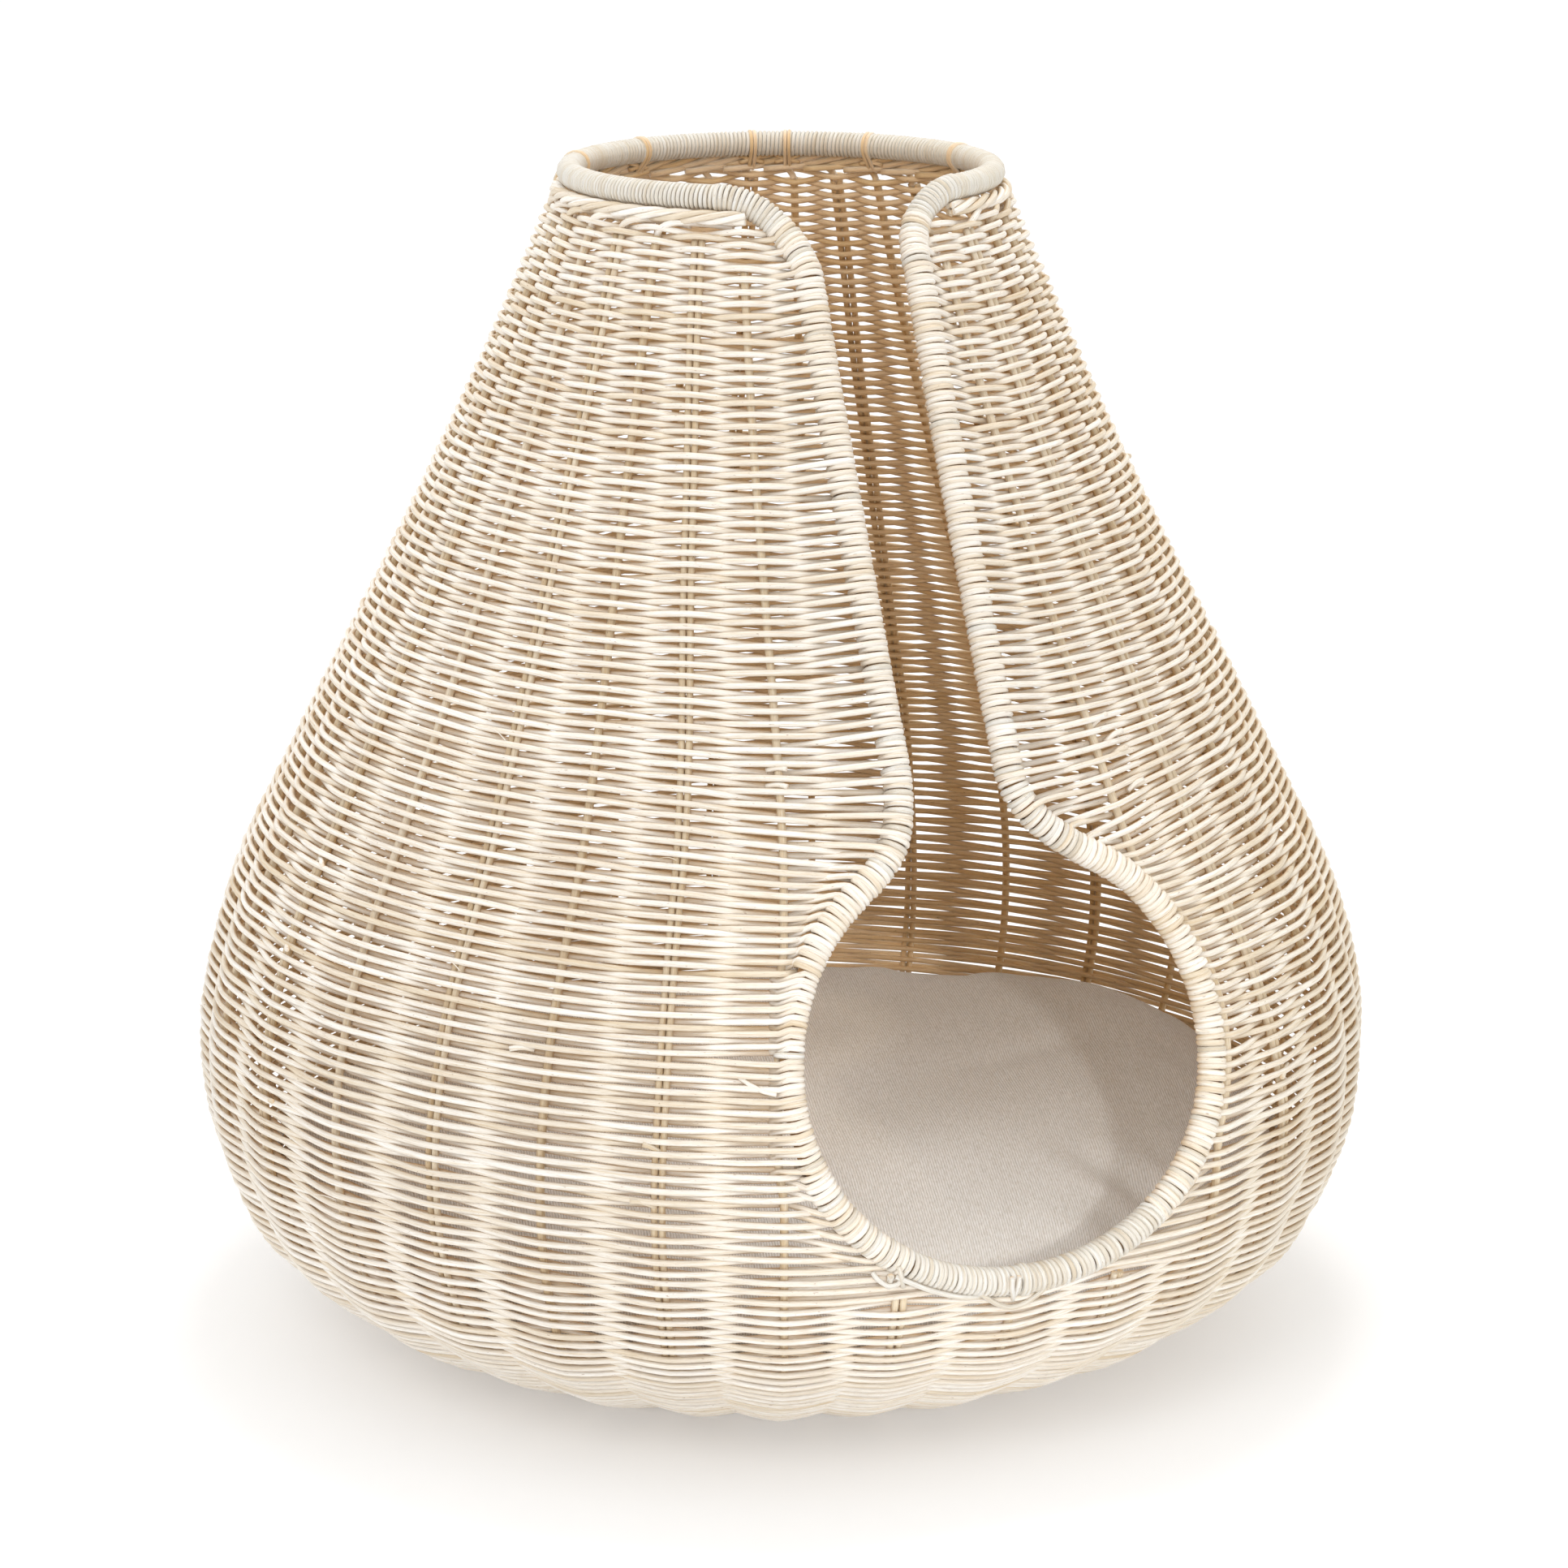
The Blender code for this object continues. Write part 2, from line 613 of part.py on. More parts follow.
def cushion_top():
    """Half section of the top, from the seam in to the middle: a rounded side, then a low crown."""
    side = CUSHION_SEAM_RADIUS - CUSHION_SHOULDER_RADIUS
    rise = CUSHION_SHOULDER_HEIGHT - CUSHION_SEAM_HEIGHT
    points = []
    for share in CUSHION_SIDE_SHARES:
        turn = share * math.pi / 2
        radius = CUSHION_SHOULDER_RADIUS + side * math.cos(turn)
        points.append((radius, CUSHION_SEAM_HEIGHT + rise * math.sin(turn)))
    crown = CUSHION_CROWN - CUSHION_SHOULDER_HEIGHT
    for share in CUSHION_CROWN_SHARES:
        height = CUSHION_SHOULDER_HEIGHT + crown * (1 - share * share)
        points.append((share * CUSHION_SHOULDER_RADIUS, height))
    return points


def drawn_in(points, depth):
    """The half section moved depth to the left of its direction of travel, which is into the cushion."""
    moved = []
    for i, (r, z) in enumerate(points):
        before = points[max(i - 1, 0)]
        after = points[min(i + 1, len(points) - 1)]
        run = (after[0] - before[0], after[1] - before[1])
        length = math.hypot(*run)
        moved.append((max(r - depth * run[1] / length, 0.0) if r else 0.0, z + depth * run[0] / length))
    return moved


def make_cushion():
    """Two sewn panels and the filling between them."""
    under = cushion_underside()
    top = cushion_top()
    low_rim = (under[-1][0], under[-1][1] - GAP / 2)
    high_rim = (top[0][0], top[0][1] + GAP / 2)
    lower_skin = under[:-1] + [low_rim]
    upper_skin = [high_rim] + top[1:]
    lower_lining = drawn_in(under, COVER_THICKNESS)
    upper_lining = drawn_in(top, COVER_THICKNESS)
    lower_lining[-1] = (low_rim[0] - COVER_THICKNESS, low_rim[1])
    upper_lining[0] = (high_rim[0] - COVER_THICKNESS, high_rim[1])
    lower = lower_skin + lower_lining[::-1]
    upper = upper_lining[::-1] + upper_skin
    turned(lower, "cushion_bottom_panel", "cushion_cloth", CLOTH_FINISH)
    turned(upper, "cushion_top_panel", "cushion_cloth", CLOTH_FINISH)
    filling = drawn_in(under, COVER_THICKNESS + GAP)[:-1]
    filling.append((CUSHION_SEAM_RADIUS - COVER_THICKNESS - 2 * GAP, CUSHION_SEAM_HEIGHT))
    filling += drawn_in(top, COVER_THICKNESS + GAP)[1:]
    turned(filling, "cushion_filling", "cushion_fill", FILLING_FINISH)


def turned(half_section, name, finish_name, finish):
    outline = [(r, z, 0) for r, z in half_section]
    lathe(name, outline, CUSHION_SEGMENTS, finish_name, finish)


def main():
    clear_scene()
    make_base()
    make_cross_sticks()
    make_stakes()
    make_wall()
    make_edge()
    make_braid()
    make_cushion()


main()
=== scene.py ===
"""The looks of a round wicker pet bed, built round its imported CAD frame: woven cane wall and base,
bound edge, twisted border and a sewn twill cushion.

The basket stands on z = 0 with its axis on +Z, and the entrance faces -Y. A place on the wall is an angle
round the axis, counted from the entrance centre towards +X, and a height. All lengths are in metres."""

import math

import bpy
import numpy as np
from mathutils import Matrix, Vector
from mathutils.geometry import convex_hull_2d


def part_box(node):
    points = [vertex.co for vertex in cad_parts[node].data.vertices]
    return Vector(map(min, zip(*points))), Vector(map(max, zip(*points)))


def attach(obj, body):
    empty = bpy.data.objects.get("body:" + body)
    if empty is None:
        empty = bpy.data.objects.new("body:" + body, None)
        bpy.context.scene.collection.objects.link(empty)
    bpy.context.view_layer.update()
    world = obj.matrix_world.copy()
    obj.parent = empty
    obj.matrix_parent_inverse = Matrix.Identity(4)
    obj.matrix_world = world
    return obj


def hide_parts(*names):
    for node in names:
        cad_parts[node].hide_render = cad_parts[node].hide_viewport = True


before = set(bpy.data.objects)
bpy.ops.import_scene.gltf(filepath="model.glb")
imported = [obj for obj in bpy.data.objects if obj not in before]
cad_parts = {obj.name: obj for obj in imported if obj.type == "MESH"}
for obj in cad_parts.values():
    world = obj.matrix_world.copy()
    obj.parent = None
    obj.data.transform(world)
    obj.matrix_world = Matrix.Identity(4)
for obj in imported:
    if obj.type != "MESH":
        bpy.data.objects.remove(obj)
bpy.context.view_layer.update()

TAU = 2 * math.pi
random = np.random.default_rng(31)

# ---- the CAD's own wall outline and bound edge, repeated from part.py ----

OUTLINE = (
    (0.000, 0.145),
    (0.015, 0.182),
    (0.040, 0.219),
    (0.080, 0.2425),
    (0.125, 0.250),
    (0.185, 0.239),
    (0.255, 0.206),
    (0.335, 0.165),
    (0.415, 0.126),
    (0.492, 0.092),
)
WALL_TOP = 0.4795
MID_DEPTH = 0.00425  # the stakes' and the pole's centres lie this deep under the outline
STAKE_COUNT = 32
STAKE_RADIUS = 0.00175
PAIR_ROD_RADIUS = 0.0014
PAIR_HALF_SPREAD = 0.0014
CORNER_STAKE_TOP = 0.4695
SPOKE_START = 0.046
STAKE_TWIST = math.radians(-3.2)
TWIST_HEIGHTS = (0.09, 0.28)
TWIST_ANGLES = (math.radians(40), math.radians(110))
LEAN_POWER = 1.5
BACK_LEAN = math.radians(5.2)
BACK_LEAN_HEIGHTS = (0.280, 0.467)
BACK_LEAN_ANGLES = (math.radians(80), math.radians(160))
FRONT_START = math.radians(0.6)
FRONT_START_HEIGHT = 0.06
FRONT_LEAN = math.radians(8.6)
FRONT_LEAN_HEIGHTS = (0.250, 0.467)
FRONT_LEAN_ANGLES = (math.radians(50), math.radians(80))
BESIDE_ENTRANCE = (math.radians(20), math.radians(25))  # spoke angles of the stakes beside the entrance
BOW_SOFTNESS = math.radians(1.2)
BESIDE_GAP = 0.0016
POLE_RADIUS = 0.0037
EDGE_RADIUS = 0.0058
ENTRANCE_OFFSET = 0.0036
ENTRANCE_HEIGHT = 0.1725
ENTRANCE_HALF_WIDTH = 0.0926
ENTRANCE_FALL = 0.0815
ENTRANCE_RISE = 0.0860
THROAT_TURN = math.radians(56.2)
THROAT_TOP = 0.284
THROAT_PULL = 0.020
SLIT_OFFSET = -0.0046
SLIT_HALF_WIDTH = 0.0233
SHIFT_HEIGHTS = (0.236, 0.276)
HOOP_HEIGHT = 0.492
HOOP_RADIUS = 0.0870
HOOP_EASE = 0.03  # over this height the pole leaves the wall's surface for the hoop's circle
CORNER_RADIUS = {1: 0.027, -1: 0.031}  # right and left
BRAID_HEIGHT = 0.4831
BRAID_END_ANGLE = math.radians(31)
SEAM_HEIGHT = 0.066

# ---- the weaving ----

ROW_PITCH = 0.00245
WEAVER_RADIUS = 0.00127
OVER_SINGLE = STAKE_RADIUS + WEAVER_RADIUS  # how far a weaver's centre passes outside a stake's
OVER_PAIR = PAIR_ROD_RADIUS + WEAVER_RADIUS
OVER_POLE = POLE_RADIUS + WEAVER_RADIUS - 0.0001
TOP_ROWS_RISE = 0.0026  # the rows' middle surface leans in, so the highest start above the CAD wall's top
LOWEST_ROW = 0.0012  # distance up the wall from the base rim
SHARES = np.array([0.0, 0.07, 0.18, 0.32, 0.5, 0.68, 0.82, 0.93])  # points of a weaver between two stakes
WALL_GROUPS = 6  # pieces that the wall's rows are shared among
WOVEN_NODES = ("lower_weave", "middle_weave", "upper_weave")
UNDER_SILL = 0.0062  # rows that end this far under the entrance run all the way round

MOST_OFFSET = 0.0006  # how far the wall's surface wanders in and out
MOST_SAG = 0.0010  # how far a row wanders up and down
LEVEL_START = 0.02  # the lowest rows keep level over this distance
OUT_SCATTER = 0.00012  # of a weaver at each stake it passes, in and out
LIFT_SCATTER = 0.00026  # and up and down
THICKNESS_SCATTER = 0.03  # of the weavers, as a share
TINT_SCATTER = 0.2
DIP_SHADE_DEPTHS = (-0.0010, 0.0026)  # painted shade: a weaver turns yellow as it dips inside the stakes between these depths
DIP_SHADE = 0.5

WRAP_PITCH = 0.00238
WRAP_DRIFT = 0.35  # share of a pitch that a row's turn moves on along the pole
WRAP_SCATTER = 0.0001
FILL_RADIUS = WEAVER_RADIUS * 0.96
CORNER_WRAP_PITCH = 0.00205
CORNER_WRAP_RADIUS = 0.00104
SILL_WRAP_PITCH = 0.0021
SILL_WRAP_RADIUS = 0.00112
SILL_SLANT = 0.0009
HOOP_WRAP_PITCH = 0.00185
HOOP_WRAP_RADIUS = 0.00088
# share of painted shade that the hoop wraps get on their side facing into the basket
HOOP_INNER_SHADE = 0.6


def smooth(value, low, high):
    t = np.clip((np.asarray(value, float) - low) / (high - low), 0.0, 1.0)
    return t * t * (3 - 2 * t)


# ---- the wall's surface ----

OUT_Z = np.array([p[0] for p in OUTLINE])
OUT_R = np.array([p[1] for p in OUTLINE])


def outline_slopes():
    steps = np.diff(OUT_Z)
    rises = np.diff(OUT_R) / steps
    inner = (rises[:-1] * steps[1:] + rises[1:] * steps[:-1]) / (steps[:-1] + steps[1:])
    return np.concatenate(([1.5 * rises[0] - 0.5 * inner[0]], inner, [1.5 * rises[-1] - 0.5 * inner[-1]]))


OUT_M = outline_slopes()


def wall_radius(z):
    """Outer radius and its slope at heights z, on the cubic curve through OUTLINE."""
    z = np.asarray(z, float)
    i = np.clip(np.searchsorted(OUT_Z, z, side="right") - 1, 0, len(OUT_Z) - 2)
    span = OUT_Z[i + 1] - OUT_Z[i]
    t = (z - OUT_Z[i]) / span
    m0 = OUT_M[i] * span
    m1 = OUT_M[i + 1] * span
    a = 2 * OUT_R[i] - 2 * OUT_R[i + 1] + m0 + m1
    b = -3 * OUT_R[i] + 3 * OUT_R[i + 1] - 2 * m0 - m1
    return ((a * t + b) * t + m0) * t + OUT_R[i], ((3 * a * t + 2 * b) * t + m0) / span


FINE_Z = np.linspace(0, HOOP_HEIGHT, 3000)
FINE_R = wall_radius(FINE_Z)[0]
FINE_S = np.concatenate(([0.0], np.cumsum(np.hypot(np.diff(FINE_Z), np.diff(FINE_R)))))


def climb(z):
    """Distance up the wall from the base rim to height z."""
    return np.interp(z, FINE_Z, FINE_S)


def height(s):
    return np.interp(s, FINE_S, FINE_Z)


def place(angle, s, out=0.0):
    """Points out from the wall's middle surface at an angle and a distance up the wall, and their normals."""
    z = height(s)
    radius, slope = wall_radius(z)
    length = np.hypot(1, slope)
    depth = MID_DEPTH - out
    r = radius - depth / length
    points = np.stack([r * np.sin(angle), -r * np.cos(angle), z + depth * slope / length], -1)
    normals = np.stack([np.sin(angle) / length, -np.cos(angle) / length, -slope / length], -1)
    return points, normals


def ring_points(angle, radius, z):
    """Points at angles round the axis, and their level outward normals."""
    angle = np.asarray(angle, float)
    points = np.stack([radius * np.sin(angle), -radius * np.cos(angle), z + 0 * angle], -1)
    normals = np.stack([np.sin(angle), -np.cos(angle), 0 * angle], -1)
    return points, normals


def wander(angle, s, waves):
    """A smooth random height field over the wall, between about -1 and 1."""
    total = 0.0
    for around, up, phase in waves:
        total = total + np.sin(around * angle + up * s + phase)
    return total / len(waves)


def random_waves(count, most_around, most_up):
    around = random.integers(2, most_around, count)
    up = random.uniform(-most_up, most_up, count)
    return list(zip(around, up, random.uniform(0, TAU, count)))


SAG_WAVES = random_waves(7, 14, 40.0)
OUT_WAVES = random_waves(7, 16, 45.0)


# ---- the stakes' places ----


HIDDEN_STAKE_ANGLE = math.radians(22.45)
HIDDEN_STAKE_DEPTH = 0.0029
HIDDEN_FROM = (0.128, 0.148)
HIDDEN_TO = (0.211, 0.226)
HEEL_TOP = 0.03  # up to this height the stakes leave their spokes' angles


def hidden(z):
    """How far the stake left of the entrance is taken into the pole's wraps at height z."""
    return float(smooth(z, *HIDDEN_FROM) * (1 - smooth(z, *HIDDEN_TO)))


def entrance_half_width(z):
    share = (z - ENTRANCE_HEIGHT) / (ENTRANCE_RISE if z > ENTRANCE_HEIGHT else ENTRANCE_FALL)
    return ENTRANCE_HALF_WIDTH * math.sqrt(max(1 - share * share, 0.0))


def lean(z, most, heights):
    """Lean at height z that starts at the first height and reaches most at the second."""
    share = (z - heights[0]) / (heights[1] - heights[0])
    return most * max(share, 0.0) ** LEAN_POWER


def stake_turn(spoke_angle, z):
    """How far round from its spoke a stake stands at height z, as the CAD has it."""
    high = smooth(z, *TWIST_HEIGHTS)
    back = smooth(abs(spoke_angle), *TWIST_ANGLES)
    turn = STAKE_TWIST * (high + (1 - high) * back)
    if spoke_angle > -BESIDE_ENTRANCE[0]:
        return float(turn)
    turn = turn - lean(z, BACK_LEAN, BACK_LEAN_HEIGHTS) * (1 - smooth(-spoke_angle, *BACK_LEAN_ANGLES))
    front = 1 - smooth(-spoke_angle, *FRONT_LEAN_ANGLES)
    front_turn = FRONT_START * smooth(z, 0.0, FRONT_START_HEIGHT) - lean(z, FRONT_LEAN, FRONT_LEAN_HEIGHTS)
    return float(front * front_turn + (1 - front) * turn)


def column_angle(spoke_angle, z):
    """Where the stake that leaves the base at spoke_angle stands at height z.

    Beside the entrance the left one runs close behind the bound pole, and the right one bows out round it."""
    turned = spoke_angle + stake_turn(spoke_angle, z) * float(smooth(z, 0.0, HEEL_TOP))
    if not BESIDE_ENTRANCE[0] < abs(spoke_angle) < BESIDE_ENTRANCE[1]:
        return turned
    if spoke_angle < 0:
        return min(turned, turned * (1 - hidden(z)) - HIDDEN_STAKE_ANGLE * hidden(z))
    slope = float(wall_radius(z)[1])
    middle = float(wall_radius(z)[0]) - MID_DEPTH / math.hypot(1, slope)
    needed = (entrance_half_width(z) + ENTRANCE_OFFSET + EDGE_RADIUS + STAKE_RADIUS + BESIDE_GAP) / middle
    return 0.5 * (turned + needed + math.sqrt((turned - needed) ** 2 + BOW_SOFTNESS**2))


NUMBERS = np.arange(STAKE_COUNT) - STAKE_COUNT // 2 + 1
SPOKE = NUMBERS * TAU / STAKE_COUNT
COLUMN_Z = np.linspace(0, WALL_TOP, 160)
COLUMNS = np.array([[column_angle(a, z) for z in COLUMN_Z] for a in SPOKE])


def stake_angle(index, z):
    return np.interp(z, COLUMN_Z, COLUMNS[index])


def is_single(index):
    return NUMBERS[index] % 2 == 0


# ---- strands: tubes gathered into one mesh each piece ----


def unit(v):
    return v / np.maximum(np.linalg.norm(v, axis=-1, keepdims=True), 1e-12)


class Strands:
    """Gathers tubes. Each keeps its own tint, and each point its place along and round the strand."""

    def __init__(self, sides=8):
        self.sides = sides
        self.count = 0
        self.points = []
        self.quads = []
        self.caps = []
        self.grain = []
        self.tint = []
        self.inner = []

    def add(self, points, normals, radius, closed=False, tint=None, inner=1.0, deep=0.0):
        points = np.asarray(points, float)
        n = len(points)
        if closed:
            ahead = np.roll(points, -1, 0) - np.roll(points, 1, 0)
        else:
            ahead = np.gradient(points, axis=0)
        ahead = unit(ahead)
        up = unit(normals - (normals * ahead).sum(-1, keepdims=True) * ahead)
        across = np.cross(ahead, up)
        turn = (np.arange(self.sides) + 0.5) * TAU / self.sides
        radius = np.broadcast_to(np.asarray(radius, float), (n,))[:, None, None]
        spread = up[:, None] * np.cos(turn)[None, :, None] + across[:, None] * np.sin(turn)[None, :, None]
        self.points.append((points[:, None] + spread * radius).reshape(-1, 3))
        rings = np.arange(n if closed else n - 1)
        j = np.arange(self.sides)
        a = self.count + (rings[:, None] * self.sides + j[None])
        b = self.count + (rings[:, None] * self.sides + (j[None] + 1) % self.sides)
        step = ((rings + 1) % n - rings)[:, None] * self.sides
        self.quads.append(np.stack([a, b, b + step, a + step], -1).reshape(-1, 4))
        if not closed:
            self.caps.append(self.count + j[::-1])
            self.caps.append(self.count + (n - 1) * self.sides + j)
        along = np.concatenate(([0.0], np.cumsum(np.linalg.norm(np.diff(points, axis=0), axis=-1))))
        start = random.uniform(0, 40.0)
        grain = np.empty((n, self.sides, 3))
        grain[..., 0] = (along + start)[:, None]
        grain[..., 1] = np.cos(turn)[None] + start
        grain[..., 2] = np.sin(turn)[None]
        self.grain.append(grain.reshape(-1, 3))
        tint = random.uniform() if tint is None else tint
        self.tint.append(np.repeat(np.broadcast_to(np.asarray(tint, float), (n,)), self.sides))
        # painted shade: inner scales the tan given to the side of the strand that faces the axis, and deep
        # adds more where the strand dips behind others
        away = unit(points * np.array([1.0, 1.0, 0.0]))
        facing = inner * (0.5 - 0.5 * (spread * away[:, None]).sum(-1))
        deep = np.broadcast_to(np.asarray(deep, float), (n,))[:, None]
        self.inner.append(np.minimum(facing + deep, 1.0).ravel())
        self.count += n * self.sides

    def build(self, name, made_material, slot, *replaced):
        mesh = bpy.data.meshes.new(name)
        quads = np.concatenate(self.quads)
        caps = np.array(self.caps, int).reshape(-1, self.sides)
        mesh.vertices.add(self.count)
        mesh.vertices.foreach_set("co", np.concatenate(self.points).astype(np.float32).ravel())
        mesh.loops.add(quads.size + caps.size)
        loops = np.concatenate([quads.ravel(), caps.ravel()]).astype(np.int32)
        mesh.loops.foreach_set("vertex_index", loops)
        mesh.polygons.add(len(quads) + len(caps))
        starts = np.concatenate([np.arange(len(quads)) * 4, quads.size + np.arange(len(caps)) * self.sides])
        mesh.polygons.foreach_set("loop_start", starts.astype(np.int32))
        sharp = np.concatenate([np.zeros(len(quads), bool), np.ones(len(caps), bool)])
        mesh.update(calc_edges=True)
        mesh.polygons.foreach_set("use_smooth", ~sharp)
        grain = mesh.attributes.new("grain", "FLOAT_VECTOR", "POINT")
        grain.data.foreach_set("vector", np.concatenate(self.grain).astype(np.float32).ravel())
        for key, values in (("tint", self.tint), ("inner", self.inner)):
            layer = mesh.attributes.new(key, "FLOAT", "POINT")
            layer.data.foreach_set("value", np.concatenate(values).astype(np.float32))
        mesh.materials.append(made_material)
        obj = bpy.data.objects.new(name, mesh)
        bpy.context.scene.collection.objects.link(obj)
        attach(obj, "basket")
        if replaced:
            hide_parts(*replaced)
        return obj


def curve_between(p0, t0, p1, t1, count, pull=1.0):
    """Points of a smooth bend from p0 to p1 that leaves along t0 and arrives along t1, both ends left out."""
    reach = np.linalg.norm(p1 - p0) * pull
    u = (np.arange(1, count + 1) / (count + 1))[:, None]
    m0 = unit(t0) * reach
    m1 = unit(t1) * reach
    return (
        (2 * u**3 - 3 * u**2 + 1) * p0
        + (u**3 - 2 * u**2 + u) * m0
        + (-2 * u**3 + 3 * u**2) * p1
        + (u**3 - u**2) * m1
    )


# ---- the bound edge's pole path ----


def edge_shift(z):
    return ENTRANCE_OFFSET + (SLIT_OFFSET - ENTRANCE_OFFSET) * smooth(z, *SHIFT_HEIGHTS)


def edge_half(side):
    """Right or left half of the pole's centre line, as (distance from its own middle line, height)."""
    turn = np.linspace(-math.pi / 2, THROAT_TURN, 240)
    rise = np.where(turn > 0, ENTRANCE_RISE, ENTRANCE_FALL)
    entrance = np.stack([ENTRANCE_HALF_WIDTH * np.cos(turn), ENTRANCE_HEIGHT + rise * np.sin(turn)], -1)
    start = entrance[-1]
    heading = np.array([-ENTRANCE_HALF_WIDTH * math.sin(THROAT_TURN), ENTRANCE_RISE * math.cos(THROAT_TURN)])
    end = np.array([SLIT_HALF_WIDTH, THROAT_TOP])
    first = start + unit(heading) * THROAT_PULL
    second = end - np.array([0.0, THROAT_PULL])
    t = np.linspace(0, 1, 60)[1:, None]
    throat = (1 - t) ** 3 * start + 3 * (1 - t) ** 2 * t * first + 3 * (1 - t) * t * t * second + t**3 * end
    radius = CORNER_RADIUS[side]
    rise = np.linspace(THROAT_TOP, HOOP_HEIGHT - radius, 200)[1:]
    jamb = np.stack([np.full(len(rise), SLIT_HALF_WIDTH), rise], -1)
    turn = np.linspace(0, math.pi / 2, 60)[1:]
    corner = np.stack(
        [SLIT_HALF_WIDTH + radius * (1 - np.cos(turn)), HOOP_HEIGHT - radius * (1 - np.sin(turn))], -1
    )
    return np.concatenate([entrance, throat, jamb, corner])


def edge_points(side, flat):
    """Pole points and the wall's outward normals there."""
    along, z = flat[:, 0], flat[:, 1]
    radius, slope = wall_radius(z)
    length = np.hypot(1, slope)
    radius = radius - MID_DEPTH / length
    radius = radius + (HOOP_RADIUS - radius) * smooth(z, HOOP_HEIGHT - HOOP_EASE, HOOP_HEIGHT)
    angle = (side * along + edge_shift(z)) / radius
    points, normals = ring_points(angle, radius, z)
    normals[:, 2] = -slope
    return points, unit(normals)


class Edge:
    """A stretch of the pole with even access by length: point, direction, outward normal, and the
    direction in the wall's surface that points out of the wall, into the opening."""

    def __init__(self, points, normals, side):
        self.points = points
        self.length = np.concatenate(([0.0], np.cumsum(np.linalg.norm(np.diff(points, axis=0), axis=-1))))
        self.ahead = unit(np.gradient(points, axis=0))
        self.normals = unit(normals - (normals * self.ahead).sum(-1, keepdims=True) * self.ahead)
        self.side = side

    def at(self, t):
        def read(values):
            return np.stack([np.interp(t, self.length, values[:, i]) for i in range(3)], -1)

        point = read(self.points)
        ahead = unit(read(self.ahead))
        normal = unit(read(self.normals))
        free = unit(np.cross(ahead, normal)) * -self.side
        return point, ahead, normal, free


def make_edges():
    edges = {}
    for side in (1, -1):
        edges[side] = Edge(*edge_points(side, edge_half(side)), side)
    right_end = (SLIT_HALF_WIDTH + CORNER_RADIUS[1] + SLIT_OFFSET) / HOOP_RADIUS
    left_end = TAU - (SLIT_HALF_WIDTH + CORNER_RADIUS[-1] - SLIT_OFFSET) / HOOP_RADIUS
    angle = np.linspace(right_end, left_end, 500)
    slope = wall_radius(HOOP_HEIGHT)[1]
    points, normals = ring_points(angle, HOOP_RADIUS, HOOP_HEIGHT)
    edges["hoop"] = Edge(points, unit(normals - np.array([0.0, 0.0, slope])), 1)
    return edges


EDGES = make_edges()


def side_angle(side, z):
    """Angle of the pole's centre line on one side at height z."""
    flat = edge_half(side)
    points, _ = edge_points(side, flat)
    angles = np.arctan2(points[:, 0], -points[:, 1])
    return np.interp(z, flat[:, 1], angles)


SQUARE_ENOUGH = 0.93  # cosine between a row and the line across the pole, under which its turn starts earlier
ROW_PULL = 0.55  # how far a row keeps to its direction at both ends of its last bend
BEND_STEP = 0.0035
DROP = {1: 0.016, -1: 0.012}  # how much lower than it runs a row meets the pole, beside the throat
DROP_HEIGHT = 0.262
DROP_BELOW = 0.031
DROP_ABOVE = 0.023
DROP_REACH = 0.050
DROP_POWER = 1.5
TARGET_REACH = 0.028  # over this length a row comes to the level of its own turn round the pole
FIRST_TURN = {1: 0.1100, -1: 0.1040}  # the lowest height at which a row turns round the pole
UNIT_BAND = (0.143, 0.216)  # on the left, rows between these heights take in the pole and the stake beside it


def shoulder_drop(side, z):
    """Beside the throat the rows come down to meet the slanting edge square on."""
    z = np.asarray(z, float)
    width = np.where(z > DROP_HEIGHT, DROP_ABOVE, DROP_BELOW)
    return DROP[side] * np.exp(-(((z - DROP_HEIGHT) / width) ** 2))


def wrap_points(edge, t0, t1, phi, reach):
    """Points round the pole at angles phi from outward towards the opening, drifting from t0 to t1."""
    t = np.linspace(t0, t1, len(phi))
    point, _, normal, free = edge.at(t)
    radial = normal * np.cos(phi)[:, None] + free * np.sin(phi)[:, None]
    return point + radial * reach, radial


def end_of_row(side, t, over, joined_stake, nearest, heading):
    """The bend from the nearest stake to the pole and the turn round it, ordered away from the stake."""
    edge = EDGES[side]
    reach = OVER_POLE + random.normal(0, WRAP_SCATTER)
    _, _, normal, free = edge.at(t)
    if over:
        start = 0 if float(np.dot(unit(heading), free)) >= SQUARE_ENOUGH else -60
        phi = np.radians(np.arange(start, 211, 30))
        sign = 1.0
    else:
        phi = np.radians(np.arange(180, -121, -30))
        sign = -1.0
    points, radial = wrap_points(edge, t, t + WRAP_DRIFT * WRAP_PITCH, phi, reach)
    normals = radial * sign
    if joined_stake is not None and not over:
        keep = 7
        stake, stake_normal = joined_stake
        away = unit(-free)
        behind = [
            stake_normal,
            stake_normal * 0.75 + away * 0.66,
            away,
            away * 0.7 - stake_normal * 0.6,
        ]
        points = np.concatenate([points[:keep], stake + np.array(behind) * OVER_SINGLE])
        fan = np.array([stake_normal, unit(stake_normal + away), away, unit(away - stake_normal)])
        normals = np.concatenate([normals[:keep], -fan])
    count = int(np.clip(round(np.linalg.norm(points[0] - nearest) / BEND_STEP), 2, 12))
    bend = curve_between(nearest, heading, points[0], points[1] - points[0], count, ROW_PULL)
    return np.concatenate([bend, points]), np.concatenate([np.tile(unit(normal), (count, 1)), normals])


# ---- rows ----


def over_at(index):
    return OVER_SINGLE if is_single(index) else OVER_PAIR


def profile(u):
    """How a weaver goes from outside one stake (1) to inside the next (-1)."""
    return 0.62 * np.cos(math.pi * u) + 0.38 * (1 - 2 * u)


ORDER_FULL = np.arange(STAKE_COUNT)
ORDER_OPEN = np.concatenate([np.arange(17, STAKE_COUNT), np.arange(0, 14)])  # from beside the right jamb on


